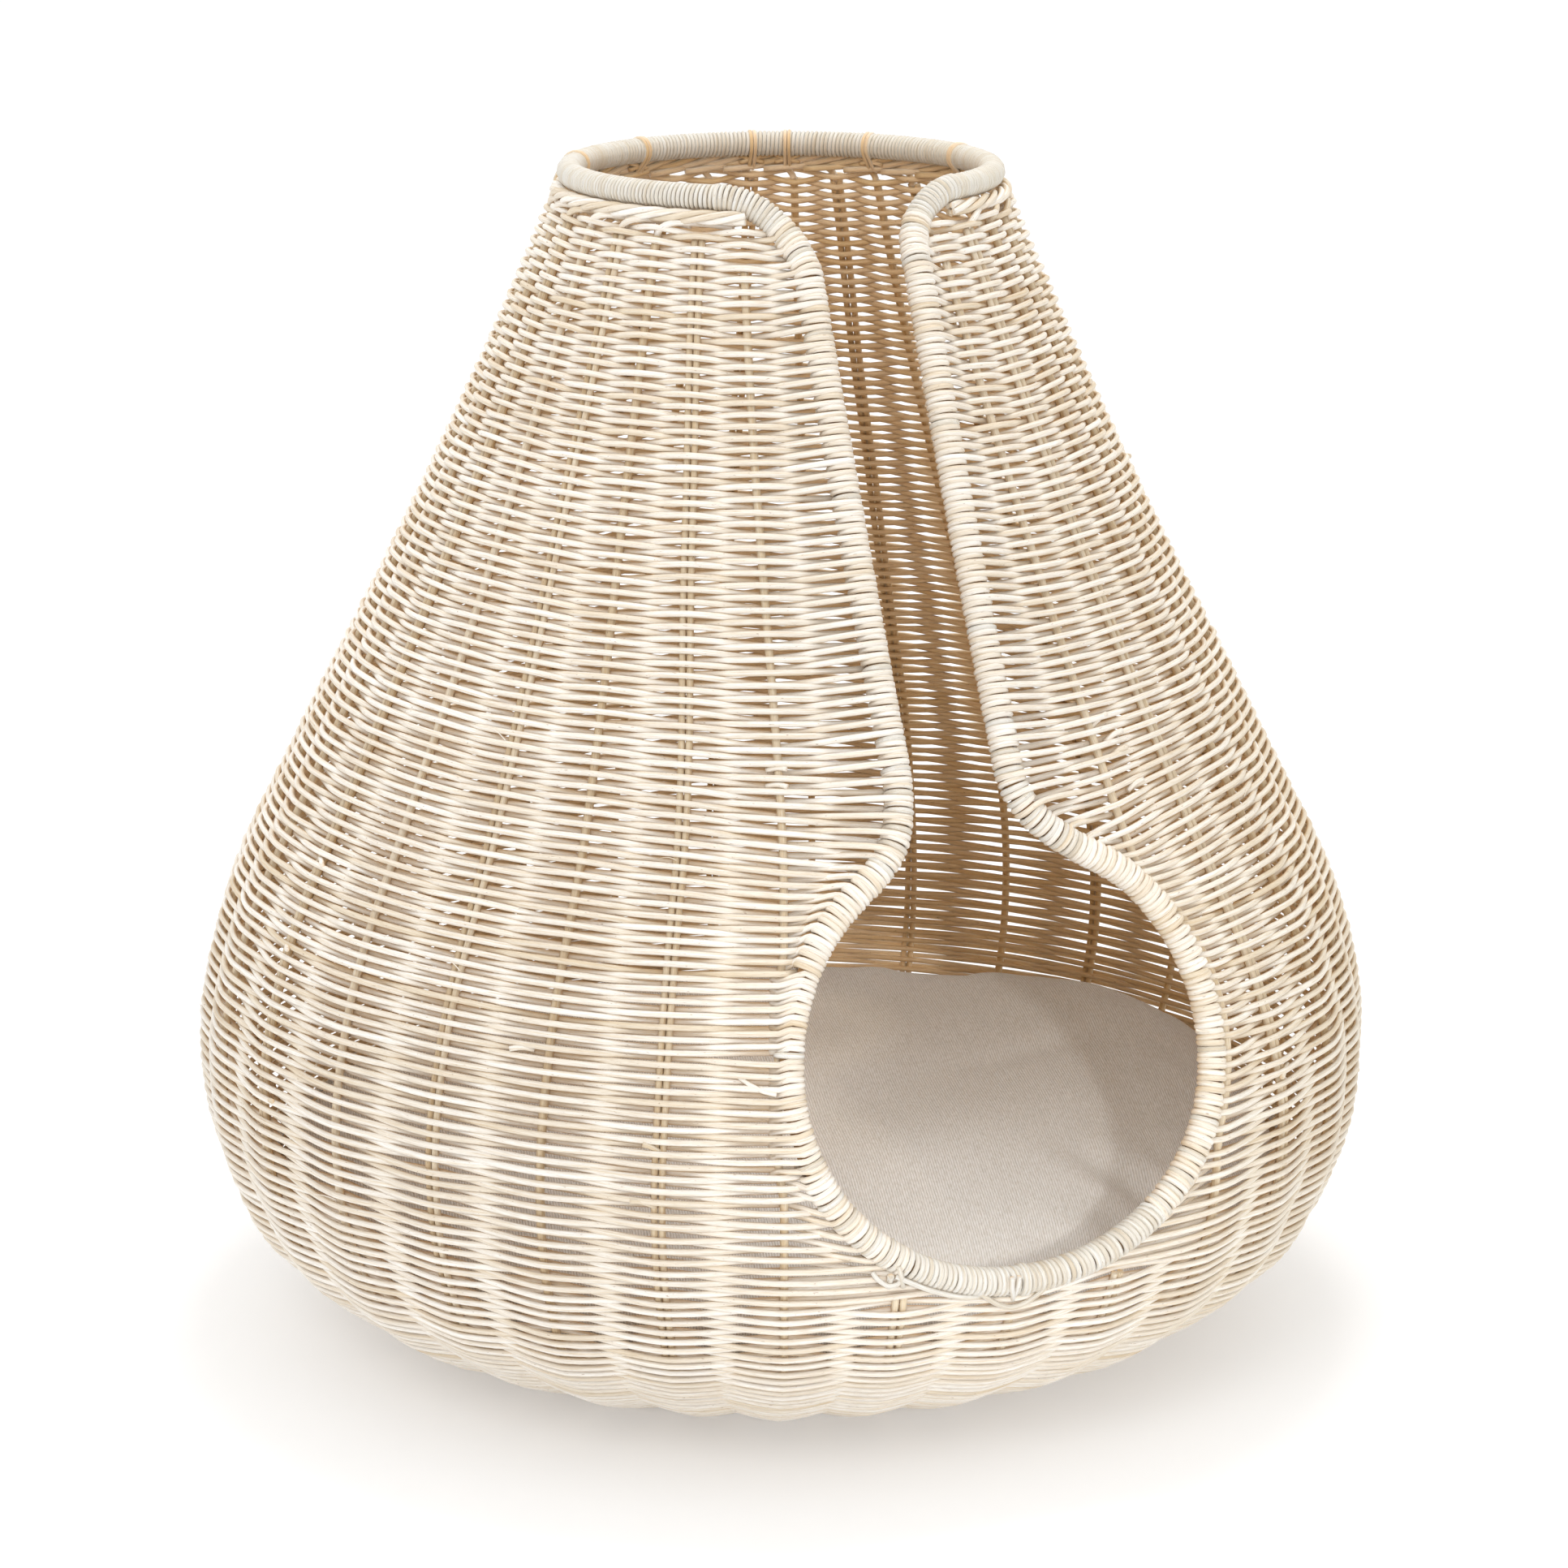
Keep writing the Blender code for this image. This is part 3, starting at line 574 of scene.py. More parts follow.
def past_pole(angle, side, z):
    """Distance along the wall from one side's pole to each angle, and whether the angle is on that side."""
    turned = (angle + math.pi) % TAU - math.pi
    away = np.maximum((side * turned - side * side_angle(side, z)) * wall_radius(z)[0], 0.0)
    return away, side * turned > 0


def row_body(s, parity, order, closed, targets):
    """A row's points on the wall from stake to stake, their normals, and how much painted shade (yellow) they
    get as they dip inside the stakes.

    targets holds, by side, the level at which the row turns round the pole."""
    z = float(height(s))
    angles = np.unwrap(np.array([stake_angle(i, z) for i in order]))
    outside = (np.arange(len(order)) + order[0] + parity) % 2 == 0
    outs = np.array([over_at(i) for i in order]) * np.where(outside, 1.0, -1.0)
    outs = outs + random.normal(0, OUT_SCATTER, len(outs))
    lift = random.normal(0, LIFT_SCATTER, len(outs))
    if closed:
        angles = np.append(angles, angles[0] + TAU)
        outs = np.append(outs, outs[0])
        lift = np.append(lift, lift[0])
    spans = len(angles) - 1
    u = np.tile(SHARES, spans)
    k = np.repeat(np.arange(spans), len(SHARES))
    mix = 0.5 + 0.5 * profile(u)
    angle = angles[k] * (1 - u) + angles[k + 1] * u
    out = outs[k] * mix + outs[k + 1] * (1 - mix)
    rise = lift[k] * mix + lift[k + 1] * (1 - mix)
    if not closed:
        angle = np.append(angle, angles[-1])
        out = np.append(out, outs[-1])
        rise = np.append(rise, lift[-1])
    level = s + rise + MOST_SAG * wander(angle, s, SAG_WAVES) * smooth(s, 0.0, LEVEL_START)
    if not closed:
        drop = drop_along(angle, z)
        level = level - drop
        for side, target in targets.items():
            away, beside = past_pole(angle, side, z)
            near = np.exp(-((away / TARGET_REACH) ** 2)) * beside
            level = level * (1 - near) + (target - drop + shoulder_drop(side, z)) * near
    points, normals = place(angle, level, out + MOST_OFFSET * wander(angle, s, OUT_WAVES))
    # painted shade where the weaver dips inside the stakes
    return points, normals, DIP_SHADE * smooth(-out, *DIP_SHADE_DEPTHS)


def drop_along(angle, z):
    """How far a row at height z is drawn down at each angle: most at the pole, fading away from it."""
    total = 0.0
    for side in (1, -1):
        away, beside = past_pole(angle, side, z)
        total = total + shoulder_drop(side, z) * np.exp(-((away / DROP_REACH) ** DROP_POWER)) * beside
    return total


def tint_of_row():
    return float(np.clip(random.normal(0.5, TINT_SCATTER), 0, 1))


def full_row(strands, s, parity):
    points, normals, deep = row_body(s, parity, ORDER_FULL, True, {})
    thick = WEAVER_RADIUS * random.normal(1.0, THICKNESS_SCATTER)
    strands.add(points, normals, thick, closed=True, tint=tint_of_row(), deep=deep)


def side_wrap(side, s):
    """Length along the pole where the row at s meets it."""
    edge = EDGES[side]
    return float(np.interp(s - shoulder_drop(side, height(s)), climb(edge.points[:, 2]), edge.length))


def share_slots(side):
    """Gives the rows even places along the pole, and returns them by row with the places left over."""
    rows = wall_rows()
    first = side_wrap(side, climb(FIRST_TURN[side]))
    count = int(round((EDGES[side].length[-1] - first) / WRAP_PITCH))
    pitch = (EDGES[side].length[-1] - first) / count
    places = {}
    used = -1
    for i, s in enumerate(rows):
        if height(s) >= FIRST_TURN[side]:
            used = min(max(used + 1, int(round((side_wrap(side, s) - first) / pitch))), count)
            places[i] = first + used * pitch
    taken = {round((t - first) / pitch) for t in places.values()}
    return places, [first + k * pitch for k in range(max(taken)) if k not in taken]


def tucked_end(side, s, nearest, heading, normal):
    """The last stretch of a row that stops at the pole instead of turning round it."""
    point = EDGES[side].at(side_wrap(side, s))[0]
    bend = curve_between(nearest, heading, point, point - nearest, 4)
    end = np.concatenate([bend, [point]])
    return end, np.tile(normal, (len(end), 1))


def open_row(strands, row, s, radius, slots):
    """A row that runs from jamb to jamb and turns round the pole at both."""
    targets = {}
    for side in (1, -1):
        if row in slots[side][0]:
            edge = EDGES[side]
            targets[side] = float(climb(np.interp(slots[side][0][row], edge.length, edge.points[:, 2])))
    points, normals, deep = row_body(s, row, ORDER_OPEN, False, targets)
    z = float(height(s))
    ends = {}
    for side, near, after in ((1, 0, 1), (-1, -1, -2)):
        heading = points[near] - points[after]
        if side not in targets:
            ends[side] = tucked_end(side, s, points[near], heading, normals[near])
            continue
        over = (ORDER_OPEN[0] - 1 + row) % 2 == 0
        stake = None
        if side < 0 and UNIT_BAND[0] < z < UNIT_BAND[1]:
            over = not over
            angle = np.array([stake_angle(ORDER_OPEN[near], z)])
            centre, outward = place(angle, np.array([targets[side]]), -HIDDEN_STAKE_DEPTH)
            stake = (centre[0], outward[0])
        ends[side] = end_of_row(side, slots[side][0][row], over, stake, points[near], heading)
    path = np.concatenate([ends[1][0][::-1], points, ends[-1][0]])
    frames = np.concatenate([ends[1][1][::-1], normals, ends[-1][1]])
    deep = np.concatenate([np.zeros(len(ends[1][0])), deep, np.zeros(len(ends[-1][0]))])
    strands.add(path, frames, radius, tint=tint_of_row(), deep=deep)


def wall_rows():
    top = climb(WALL_TOP + TOP_ROWS_RISE)
    count = int((top - LOWEST_ROW) / ROW_PITCH) + 1
    return LOWEST_ROW + ROW_PITCH * np.arange(count)


def make_wall(cane):
    rows = wall_rows()
    low = climb(ENTRANCE_HEIGHT - ENTRANCE_FALL) - UNDER_SILL
    slots = {side: share_slots(side) for side in (1, -1)}
    for number, group in enumerate(np.array_split(np.arange(len(rows)), WALL_GROUPS)):
        strands = Strands()
        for i in group:
            if rows[i] < low:
                full_row(strands, rows[i], i)
            else:
                open_row(strands, i, rows[i], WEAVER_RADIUS * random.normal(1.0, THICKNESS_SCATTER), slots)
        replaced = WOVEN_NODES if number == 0 else ()
        strands.build(f"wall_rows_{number + 1}", cane, "weave_cane", *replaced)
    return slots


# ---- wraps along the pole ----


def add_ring(strands, edge, t, reach, radius, slant=0.0):
    """One closed turn round the pole."""
    steps = 14
    phi = np.arange(steps) * TAU / steps
    point, ahead, normal, free = edge.at(np.full(steps, t))
    radial = normal * np.cos(phi)[:, None] + free * np.sin(phi)[:, None]
    points = point + radial * reach + ahead * (slant * np.cos(phi))[:, None]
    strands.add(points, radial, radius, closed=True, inner=0.0)


def make_jamb_wraps(cane, slots):
    """Wraps that fill the pole between the rows' own turns, at the corners and under the entrance."""
    strands = Strands(7)
    for side in (1, -1):
        edge = EDGES[side]
        for t in slots[side][1]:
            add_ring(strands, edge, t, OVER_POLE + random.normal(0, WRAP_SCATTER), FILL_RADIUS)
        last = max(slots[side][0].values())
        count = int(round((edge.length[-1] - last) / CORNER_WRAP_PITCH))
        for k in range(1, count + 1):
            t = last + (edge.length[-1] - last) * k / count
            add_ring(strands, edge, t, POLE_RADIUS + CORNER_WRAP_RADIUS, CORNER_WRAP_RADIUS)
        start = side_wrap(side, climb(FIRST_TURN[side])) - WRAP_PITCH / 2
        count = int(start / SILL_WRAP_PITCH)
        for k in range(count):
            slant = SILL_SLANT * side * random.normal(1.0, 0.25)
            add_ring(strands, edge, (k + 0.5) * start / count, OVER_POLE, SILL_WRAP_RADIUS, slant)
    nodes = ("entrance_binding", "left_slit_wraps", "right_slit_wraps")
    strands.build("jamb_wraps", cane, "binding_cane", *nodes)


def make_hoop_wraps(cane):
    """One long strip wound round the hoop."""
    edge = EDGES["hoop"]
    turns = int(edge.length[-1] / HOOP_WRAP_PITCH)
    steps = 12
    phi = np.arange(turns * steps) * TAU / steps
    t = edge.length[-1] * np.arange(turns * steps) / (turns * steps)
    point, _, normal, free = edge.at(t)
    radial = normal * np.cos(phi)[:, None] + free * np.sin(phi)[:, None]
    reach = POLE_RADIUS + HOOP_WRAP_RADIUS
    reach = reach + WRAP_SCATTER * wander(phi / steps, t, random_waves(5, 60, 200.0))
    strands = Strands(7)
    shade = np.repeat(np.clip(random.normal(0.5, 0.13, turns), 0, 1), steps)
    points = point + radial * reach[:, None]
    strands.add(points, radial, HOOP_WRAP_RADIUS, tint=shade, inner=HOOP_INNER_SHADE)
    strands.build("hoop_wraps", cane, "binding_cane", "top_hoop_binding")


def surface_strand(strands, radius, *places):
    """A strand laid over the wall through places of (degrees round, height, out), smoothed."""
    places = np.array(places)
    knots = np.linspace(0, 1, len(places))
    degrees, z, out = (np.interp(np.linspace(0, 1, 24), knots, places[:, i]) for i in range(3))
    for _ in range(3):
        for line in (degrees, z, out):
            line[1:-1] = (line[:-2] + 2 * line[1:-1] + line[2:]) / 4
    points, normals = place(np.radians(degrees), climb(z), out)
    strands.add(points, normals, radius)


# Strands laid over the wall, each a radius and then places of (degrees round, height, out).
SILL_STRANDS = (  # below the entrance
    (0.0011, (-1.25, 0.096, 0.0068), (-1.15, 0.0912, 0.0066), (-0.75, 0.0866, 0.0054), (-0.45, 0.083, 0.003)),
    (0.00105, (-0.55, 0.096, 0.0068), (-0.55, 0.0915, 0.0064), (-0.5, 0.087, 0.0048)),
    (0.00105, (-4.4, 0.0898, 0.0026), (-3.4, 0.0872, 0.0042), (-2.2, 0.0832, 0.0048), (-0.5, 0.0804, 0.0052))
    + ((1.2, 0.0828, 0.0048), (2.5, 0.0868, 0.0042), (3.6, 0.0894, 0.0022)),
    (0.00108, (-12.0, 0.1005, 0.0046), (-11.0, 0.0984, 0.0052), (-9.1, 0.094, 0.0052), (-6.8, 0.09, 0.005))
    + ((-4.6, 0.0874, 0.0044), (-3.4, 0.0864, 0.0018)),
    (0.00105, (-11.8, 0.1052, 0.006), (-11.6, 0.1015, 0.006), (-11.4, 0.0975, 0.0044))
    + ((-11.1, 0.094, 0.0018),),
    (0.001, (-14.0, 0.1012, 0.002), (-13.6, 0.0992, 0.004), (-12.7, 0.0965, 0.005), (-11.8, 0.097, 0.005))
    + ((-11.4, 0.099, 0.0038),),
    (0.0014, (-12.45, 0.093, 0.0004), (-12.45, 0.0975, 0.0032), (-12.45, 0.1008, 0.005)),
)
UPPER_STRANDS = (  # weavers' ends that lie across the rows
    (0.00105, (-26.0, 0.179, 0.0), (-24.9, 0.1763, 0.0026), (-23.8, 0.1742, 0.0036), (-22.6, 0.173, 0.0034)),
    (0.0004, (20.2, 0.178, 0.0046), (20.6, 0.1768, 0.0062), (21.3, 0.1762, 0.007)),
)
SILL_TIE_PLACES = (0.0022, 0.0006)  # along the pole from the entrance's lowest point, on the left
SILL_TIE_RADIUS = 0.00095
SILL_TIE_RISE = 0.0009  # of its centre over the other wraps' centres


def make_sill_ties(cane):
    """Thin cane that ties the binding under the entrance down to the rows and to the stake ends."""
    strands = Strands()
    for t in SILL_TIE_PLACES:
        add_ring(strands, EDGES[-1], t, OVER_POLE + SILL_TIE_RISE, SILL_TIE_RADIUS)
    for strand in SILL_STRANDS:
        surface_strand(strands, *strand)
    strands.build("sill_ties", cane, "binding_cane")


# ---- loose ends ----

LOOSE_ENDS = 34
FIBRES = 26
FIBRE_RADIUS = 0.00022
END_RISE = 0.0024
SEEN_ENDS = (  # (degrees round, height, heading) of ends that stand out beside a stake
    (-23.9, 0.2870, 1),
    (-23.9, 0.2815, 1),
    (-32.9, 0.1490, -1),
    (-33.4, 0.1277, -1),
    (20.9, 0.2854, 1),
    (21.1, 0.2799, 1),
    (21.9, 0.2668, 1),
    (34.4, 0.1500, -1),
    (-6.7, 0.0864, 1),
)


def make_loose_ends(cane):
    """Weavers' tucked ends that stand out beside the stakes, and a few fine fibres."""
    strands = Strands(6)
    u = np.linspace(0, 1, 7)
    made = 0
    while made < LOOSE_ENDS + FIBRES:
        index = int(random.integers(0, STAKE_COUNT))
        z = random.uniform(0.03, 0.46)
        angle = float(stake_angle(index, z)) + random.normal(0, 0.012)
        turned = abs((angle + math.pi) % TAU - math.pi)
        if turned < side_angle(1, z) + 0.06:
            continue
        fibre = made >= LOOSE_ENDS
        seen = made < len(SEEN_ENDS)
        length = random.uniform(0.004, 0.010) if fibre else random.uniform(0.006, 0.011)
        lift = random.uniform(0.001, 0.0045) if fibre else random.uniform(0.0002, 0.0012)
        if seen:
            degrees, z, heading = SEEN_ENDS[made]
            angle = math.radians(degrees)
        else:
            heading = random.choice([-1.0, 1.0])
        inside = random.random() < 0.3 and not fibre and not seen
        out = 0.0032 + lift * u if fibre else 0.0006 + (lift + END_RISE) * u
        s = climb(z) + random.uniform(-0.3, 0.6) * length * u + 0.0008 * np.sin(u * 3)
        points, normals = place(angle + heading * length * u / wall_radius(z)[0], s, -out if inside else out)
        thick = FIBRE_RADIUS * (1.1 - 0.7 * u) if fibre else WEAVER_RADIUS * (0.92 - 0.06 * u)
        strands.add(points, normals, thick)
        made += 1
    for strand in UPPER_STRANDS:
        surface_strand(strands, *strand)
    strands.build("loose_ends", cane, "weave_cane")


# ---- stakes ----

SPOKE_END = 0.136
SPOKE_POINTS = 14
STAKE_STEP = 0.004
SILL_STAKE_DROP = 0.0165  # the stakes under the entrance end this far below the pole's centre
PAIR_DRIFT = 0.0002
PAIR_AIR = 0.0001


def stake_top(number):
    if abs(number) > 2:
        return WALL_TOP + 0.001
    if abs(number) == 2:
        return CORNER_STAKE_TOP
    sill_radius = float(wall_radius(ENTRANCE_HEIGHT - ENTRANCE_FALL)[0])
    along = number * TAU / STAKE_COUNT * sill_radius - ENTRANCE_OFFSET
    fall = ENTRANCE_FALL * math.sqrt(1 - (along / ENTRANCE_HALF_WIDTH) ** 2)
    return ENTRANCE_HEIGHT - fall - SILL_STAKE_DROP


def make_stakes(cane):
    strands = Strands()
    for i in range(STAKE_COUNT):
        radii = np.linspace(SPOKE_START, SPOKE_END, SPOKE_POINTS)
        spoke, _ = ring_points(np.full(SPOKE_POINTS, SPOKE[i]), radii, MID_DEPTH)
        s = np.arange(STAKE_STEP, climb(stake_top(NUMBERS[i])), STAKE_STEP)
        angle = stake_angle(i, height(s))
        bulge = MOST_OFFSET * wander(angle, s, OUT_WAVES)
        if NUMBERS[i] == -2:
            bulge = bulge - HIDDEN_STAKE_DEPTH * np.array([hidden(z) for z in height(s)])
        points, normals = place(angle, s, bulge)
        path = np.concatenate([spoke, points])
        outward = np.concatenate([np.tile([0.0, 0.0, -1.0], (SPOKE_POINTS, 1)), normals])
        if is_single(i):
            strands.add(path, outward, STAKE_RADIUS)
            continue
        across = unit(np.cross(unit(np.gradient(path, axis=0)), outward))
        for sign in (-1, 1):
            drift = PAIR_DRIFT * np.sin(np.arange(len(path)) * 0.21 + random.uniform(0, TAU))
            shift = across * (sign * (PAIR_HALF_SPREAD + PAIR_AIR) + drift)[:, None]
            strands.add(path + shift, outward, PAIR_ROD_RADIUS)
    names = [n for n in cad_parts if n.startswith("stake")]
    strands.build("stake_rods", cane, "stake_cane", *names)


# ---- border under the hoop ----


TWIST_HEIGHT = 0.0016  # the twist lies this much above the CAD's plain braid, close under the hoop
TWIST_STRANDS = 4
TWIST_TURNS = 13  # turns of the twist in once round the hoop
TWIST_OUT = 0.0021
TWIST_UP = 0.0018
TWIST_RADIUS = 0.00132
BENT_END_RADIUS = 0.0014
BORDER_REACH = math.radians(3.0)  # the border's strands run this far in under the bound corners
LAST_BENT_END = 0.24  # radians before the left corner
TIE_ANGLES = tuple(math.radians(a) for a in (98, 132, 156, 166, 201, 236))
TIE_RADIUS = 0.0008
TIE_HALF_PITCH = 0.0009
KNOT_RADIUS = 0.0009
KNOT_REACH = 0.0050


def make_border(cane):
    """Stake ends bent over and laid into one thick twisted row."""
    strands = Strands()
    slope = float(wall_radius(BRAID_HEIGHT)[1])
    centre = float(wall_radius(BRAID_HEIGHT)[0]) - MID_DEPTH / math.hypot(1, slope)
    shift = SLIT_OFFSET / centre
    start = BRAID_END_ANGLE + shift - BORDER_REACH
    end = TAU - BRAID_END_ANGLE + BORDER_REACH + shift
    angle = np.linspace(start, end, 420)
    for k in range(TWIST_STRANDS):
        turn = angle * TWIST_TURNS + k * TAU / TWIST_STRANDS
        z = BRAID_HEIGHT + TWIST_HEIGHT + TWIST_UP * np.sin(turn)
        points, normals = ring_points(angle, centre + TWIST_OUT * np.cos(turn), z)
        strands.add(points, normals, TWIST_RADIUS)
    u = np.linspace(0, 1, 14)
    rise = 0.0075 * np.sin(np.minimum(u * 1.9, 1.0) * math.pi / 2) - 0.0022 * u**2
    swing = 0.0030 * np.sin(u * math.pi * 1.6 + 0.4)
    for i in range(STAKE_COUNT):
        begin = float(stake_angle(i, WALL_TOP)) % TAU
        if abs(NUMBERS[i]) > 2 and start <= begin <= end - LAST_BENT_END:
            points, normals = ring_points(begin + 0.34 * u**1.6, centre + swing, WALL_TOP - 0.004 + rise)
            strands.add(points, normals, BENT_END_RADIUS)
    for begin in TIE_ANGLES:
        add_tie(strands, begin, centre)
    strands.build("border_twist", cane, "border_cane", "border_braid")


def belt(first, second, steps=26):
    """Even points of a belt pulled tight round two circles of (across, up, radius)."""
    turn = np.arange(40) * TAU / 40
    spots = [(a + r * math.cos(t), b + r * math.sin(t)) for a, b, r in (first, second) for t in turn]
    hull = np.array([spots[k] for k in convex_hull_2d(spots)])
    closed = np.concatenate([hull, hull[:1]])
    length = np.concatenate(([0.0], np.cumsum(np.linalg.norm(np.diff(closed, axis=0), axis=-1))))
    at = np.arange(steps) * length[-1] / steps
    return np.interp(at, length, closed[:, 0]), np.interp(at, length, closed[:, 1])


def add_tie(strands, angle, braid_radius):
    """Two turns of thin cane round the hoop and the border together, crossed by a small knot inside."""
    hoop = (HOOP_RADIUS, HOOP_HEIGHT, POLE_RADIUS + 2 * HOOP_WRAP_RADIUS - 0.0002)
    twist = (braid_radius, BRAID_HEIGHT + TWIST_HEIGHT, 0.0040)
    r, z = belt(hoop, twist)
    away = unit(np.stack([r - r.mean(), z - z.mean()], -1))
    for k in (-1, 1):
        at = np.full(len(r), angle + k * TIE_HALF_PITCH / HOOP_RADIUS)
        radial, _ = ring_points(at, away[:, 0], away[:, 1])
        # deep adds a little painted shade to the ties and the knot
        strands.add(ring_points(at, r, z)[0], radial, TIE_RADIUS, closed=True, deep=0.12)
    u = np.linspace(-1, 1, 9)
    for k in (-1, 1):
        knot_z = BRAID_HEIGHT + TWIST_HEIGHT + 0.0006 + 0.0014 * u * k
        knot_r = braid_radius - 0.0046 + 0.0020 * u * u
        points, normals = ring_points(angle + u * KNOT_REACH / HOOP_RADIUS, knot_r, knot_z)
        strands.add(points, normals, KNOT_RADIUS, deep=0.15)


# ---- base ----

BASE_ROWS_END = 0.1425
CROSS_ROWS = (0.0145, 0.0455)  # radii of the rows that bind the crossed sticks
CROSS_ROWS_HEIGHT = 0.0045
CROSS_ROWS_SWING = 0.0030


def make_base(cane):
    strands = Strands()
    shares = SHARES[::2]
    u = np.tile(shares, STAKE_COUNT)
    k = np.repeat(np.arange(STAKE_COUNT), len(shares))
    mix = 0.5 + 0.5 * profile(u)
    angles = np.append(SPOKE, SPOKE[0] + TAU)
    a = angles[k] * (1 - u) + angles[k + 1] * u
    over = np.array([over_at(i) for i in ORDER_FULL])
    for row, radius in enumerate(np.arange(SPOKE_START + 0.0012, BASE_ROWS_END, ROW_PITCH)):
        outs = over * np.where((ORDER_FULL + row) % 2 == 0, 1.0, -1.0)
        outs = np.append(outs, outs[0])
        points, _ = ring_points(a, radius, MID_DEPTH - outs[k] * mix - outs[k + 1] * (1 - mix))
        down = np.tile([0.0, 0.0, -1.0], (len(points), 1))
        strands.add(points, down, WEAVER_RADIUS, closed=True, tint=tint_of_row())
    a = np.linspace(0, TAU, 48, endpoint=False)
    for row, radius in enumerate(np.arange(*CROSS_ROWS, ROW_PITCH)):
        swing = np.tanh(2.2 * np.cos(2 * a)) * (1 if row % 2 else -1)
        points, _ = ring_points(a, radius, CROSS_ROWS_HEIGHT + CROSS_ROWS_SWING * swing)
        strands.add(points, np.tile([0.0, 0.0, -1.0], (len(a), 1)), WEAVER_RADIUS, closed=True)
    strands.build("base_rows", cane, "weave_cane", "base_weave")


def make_cross_sticks(cane):
    strands = Strands()
    names = [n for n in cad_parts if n.startswith("base_stick")]
    share = np.array([-1, -0.99, -0.9, -0.5, 0, 0.5, 0.9, 0.99, 1])
    radius = STAKE_RADIUS * np.array([0.7, 1, 1, 1, 1, 1, 1, 1, 0.7])
    for name in sorted(names):
        low, high = (np.array(corner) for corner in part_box(name))
        axis = int(np.argmax(high - low))
        half = np.zeros(3)
        half[axis] = (high - low)[axis] / 2
        points = (low + high) / 2 + share[:, None] * half
        strands.add(points, np.tile([0.0, 0.0, 1.0], (9, 1)), radius)
    strands.build("base_sticks", cane, "stake_cane", *names)


# ---- materials ----


def node_tree(name):
    made = bpy.data.materials.new(name)
    made.use_nodes = True
    tree = made.node_tree
    return made, tree, tree.nodes["Principled BSDF"]


def linear(*srgb):
    return tuple(((c / 255 + 0.055) / 1.055) ** 2.4 if c > 10 else c / 255 / 12.92 for c in srgb) + (1.0,)


def ramp(tree, source, stops):
    node = tree.nodes.new("ShaderNodeValToRGB")
    elements = node.color_ramp.elements
    while len(elements) < len(stops):
        elements.new(0.5)
    for element, (where, colour) in zip(elements, stops):
        element.position = where
        element.color = colour
    tree.links.new(source, node.inputs["Fac"])
    return node.outputs["Color"]


def noise(tree, vector, scale, detail=3.0, rough=0.55):
    node = tree.nodes.new("ShaderNodeTexNoise")
    node.inputs["Scale"].default_value = scale
    node.inputs["Detail"].default_value = detail
    node.inputs["Roughness"].default_value = rough
    tree.links.new(vector, node.inputs["Vector"])
    return node.outputs["Fac"]


def stretched(tree, vector, scale):
    node = tree.nodes.new("ShaderNodeMapping")
    node.inputs["Scale"].default_value = scale
    tree.links.new(vector, node.inputs["Vector"])
    return node.outputs["Vector"]


def attribute(tree, name, output):
    node = tree.nodes.new("ShaderNodeAttribute")
    node.attribute_name = name
    return node.outputs[output]


def mix_colour(tree, factor, a, b, blend="MIX"):
    node = tree.nodes.new("ShaderNodeMix")
    node.data_type = "RGBA"
    node.blend_type = blend
    for socket, value in ((node.inputs[0], factor), (node.inputs[6], a), (node.inputs[7], b)):
        if hasattr(value, "is_linked"):
            tree.links.new(value, socket)
        else:
            socket.default_value = value
    return node.outputs[2]


def add_bump(tree, shader, source, strength, distance):
    bump = tree.nodes.new("ShaderNodeBump")
    bump.inputs["Strength"].default_value = strength
    bump.inputs["Distance"].default_value = distance
    tree.links.new(source, bump.inputs["Height"])
    tree.links.new(bump.outputs["Normal"], shader.inputs["Normal"])


def stain(tree, base, colour, share):
    """The base colour, darkened by the other colour to a share."""
    return mix_colour(tree, share, base, colour, "MULTIPLY")


def map_range(tree, source, **values):
    """A Map Range node; each value is named after its socket, with a line for the space."""
    node = tree.nodes.new("ShaderNodeMapRange")
    for key, value in values.items():
        node.inputs[key.replace("_", " ")].default_value = value
    tree.links.new(source, node.inputs["Value"])
    return node.outputs["Result"]


WHITE = linear(255, 255, 255)
INSIDE_SHADE = linear(236, 192, 121)  # painted shade: tan for the side of the cane that looks into the basket and for strands that dip behind others
YELLOWER_SIDE = linear(244, 235, 212)  # the +X side is a little more yellow
YELLOWER_FROM, YELLOWER_TO = 0.02, 0.24  # across the basket
CANES = {  # pale, usual and deep colours
    "weave": ((250, 248, 244), (242, 237, 229), (229, 217, 197)),
    "stake": ((238, 228, 209), (229, 215, 190), (212, 192, 160)),
    "binding": ((231, 230, 226), (226, 224, 218), (219, 213, 202)),
    "pole": ((214, 184, 138), (196, 162, 116), (170, 132, 88)),
}


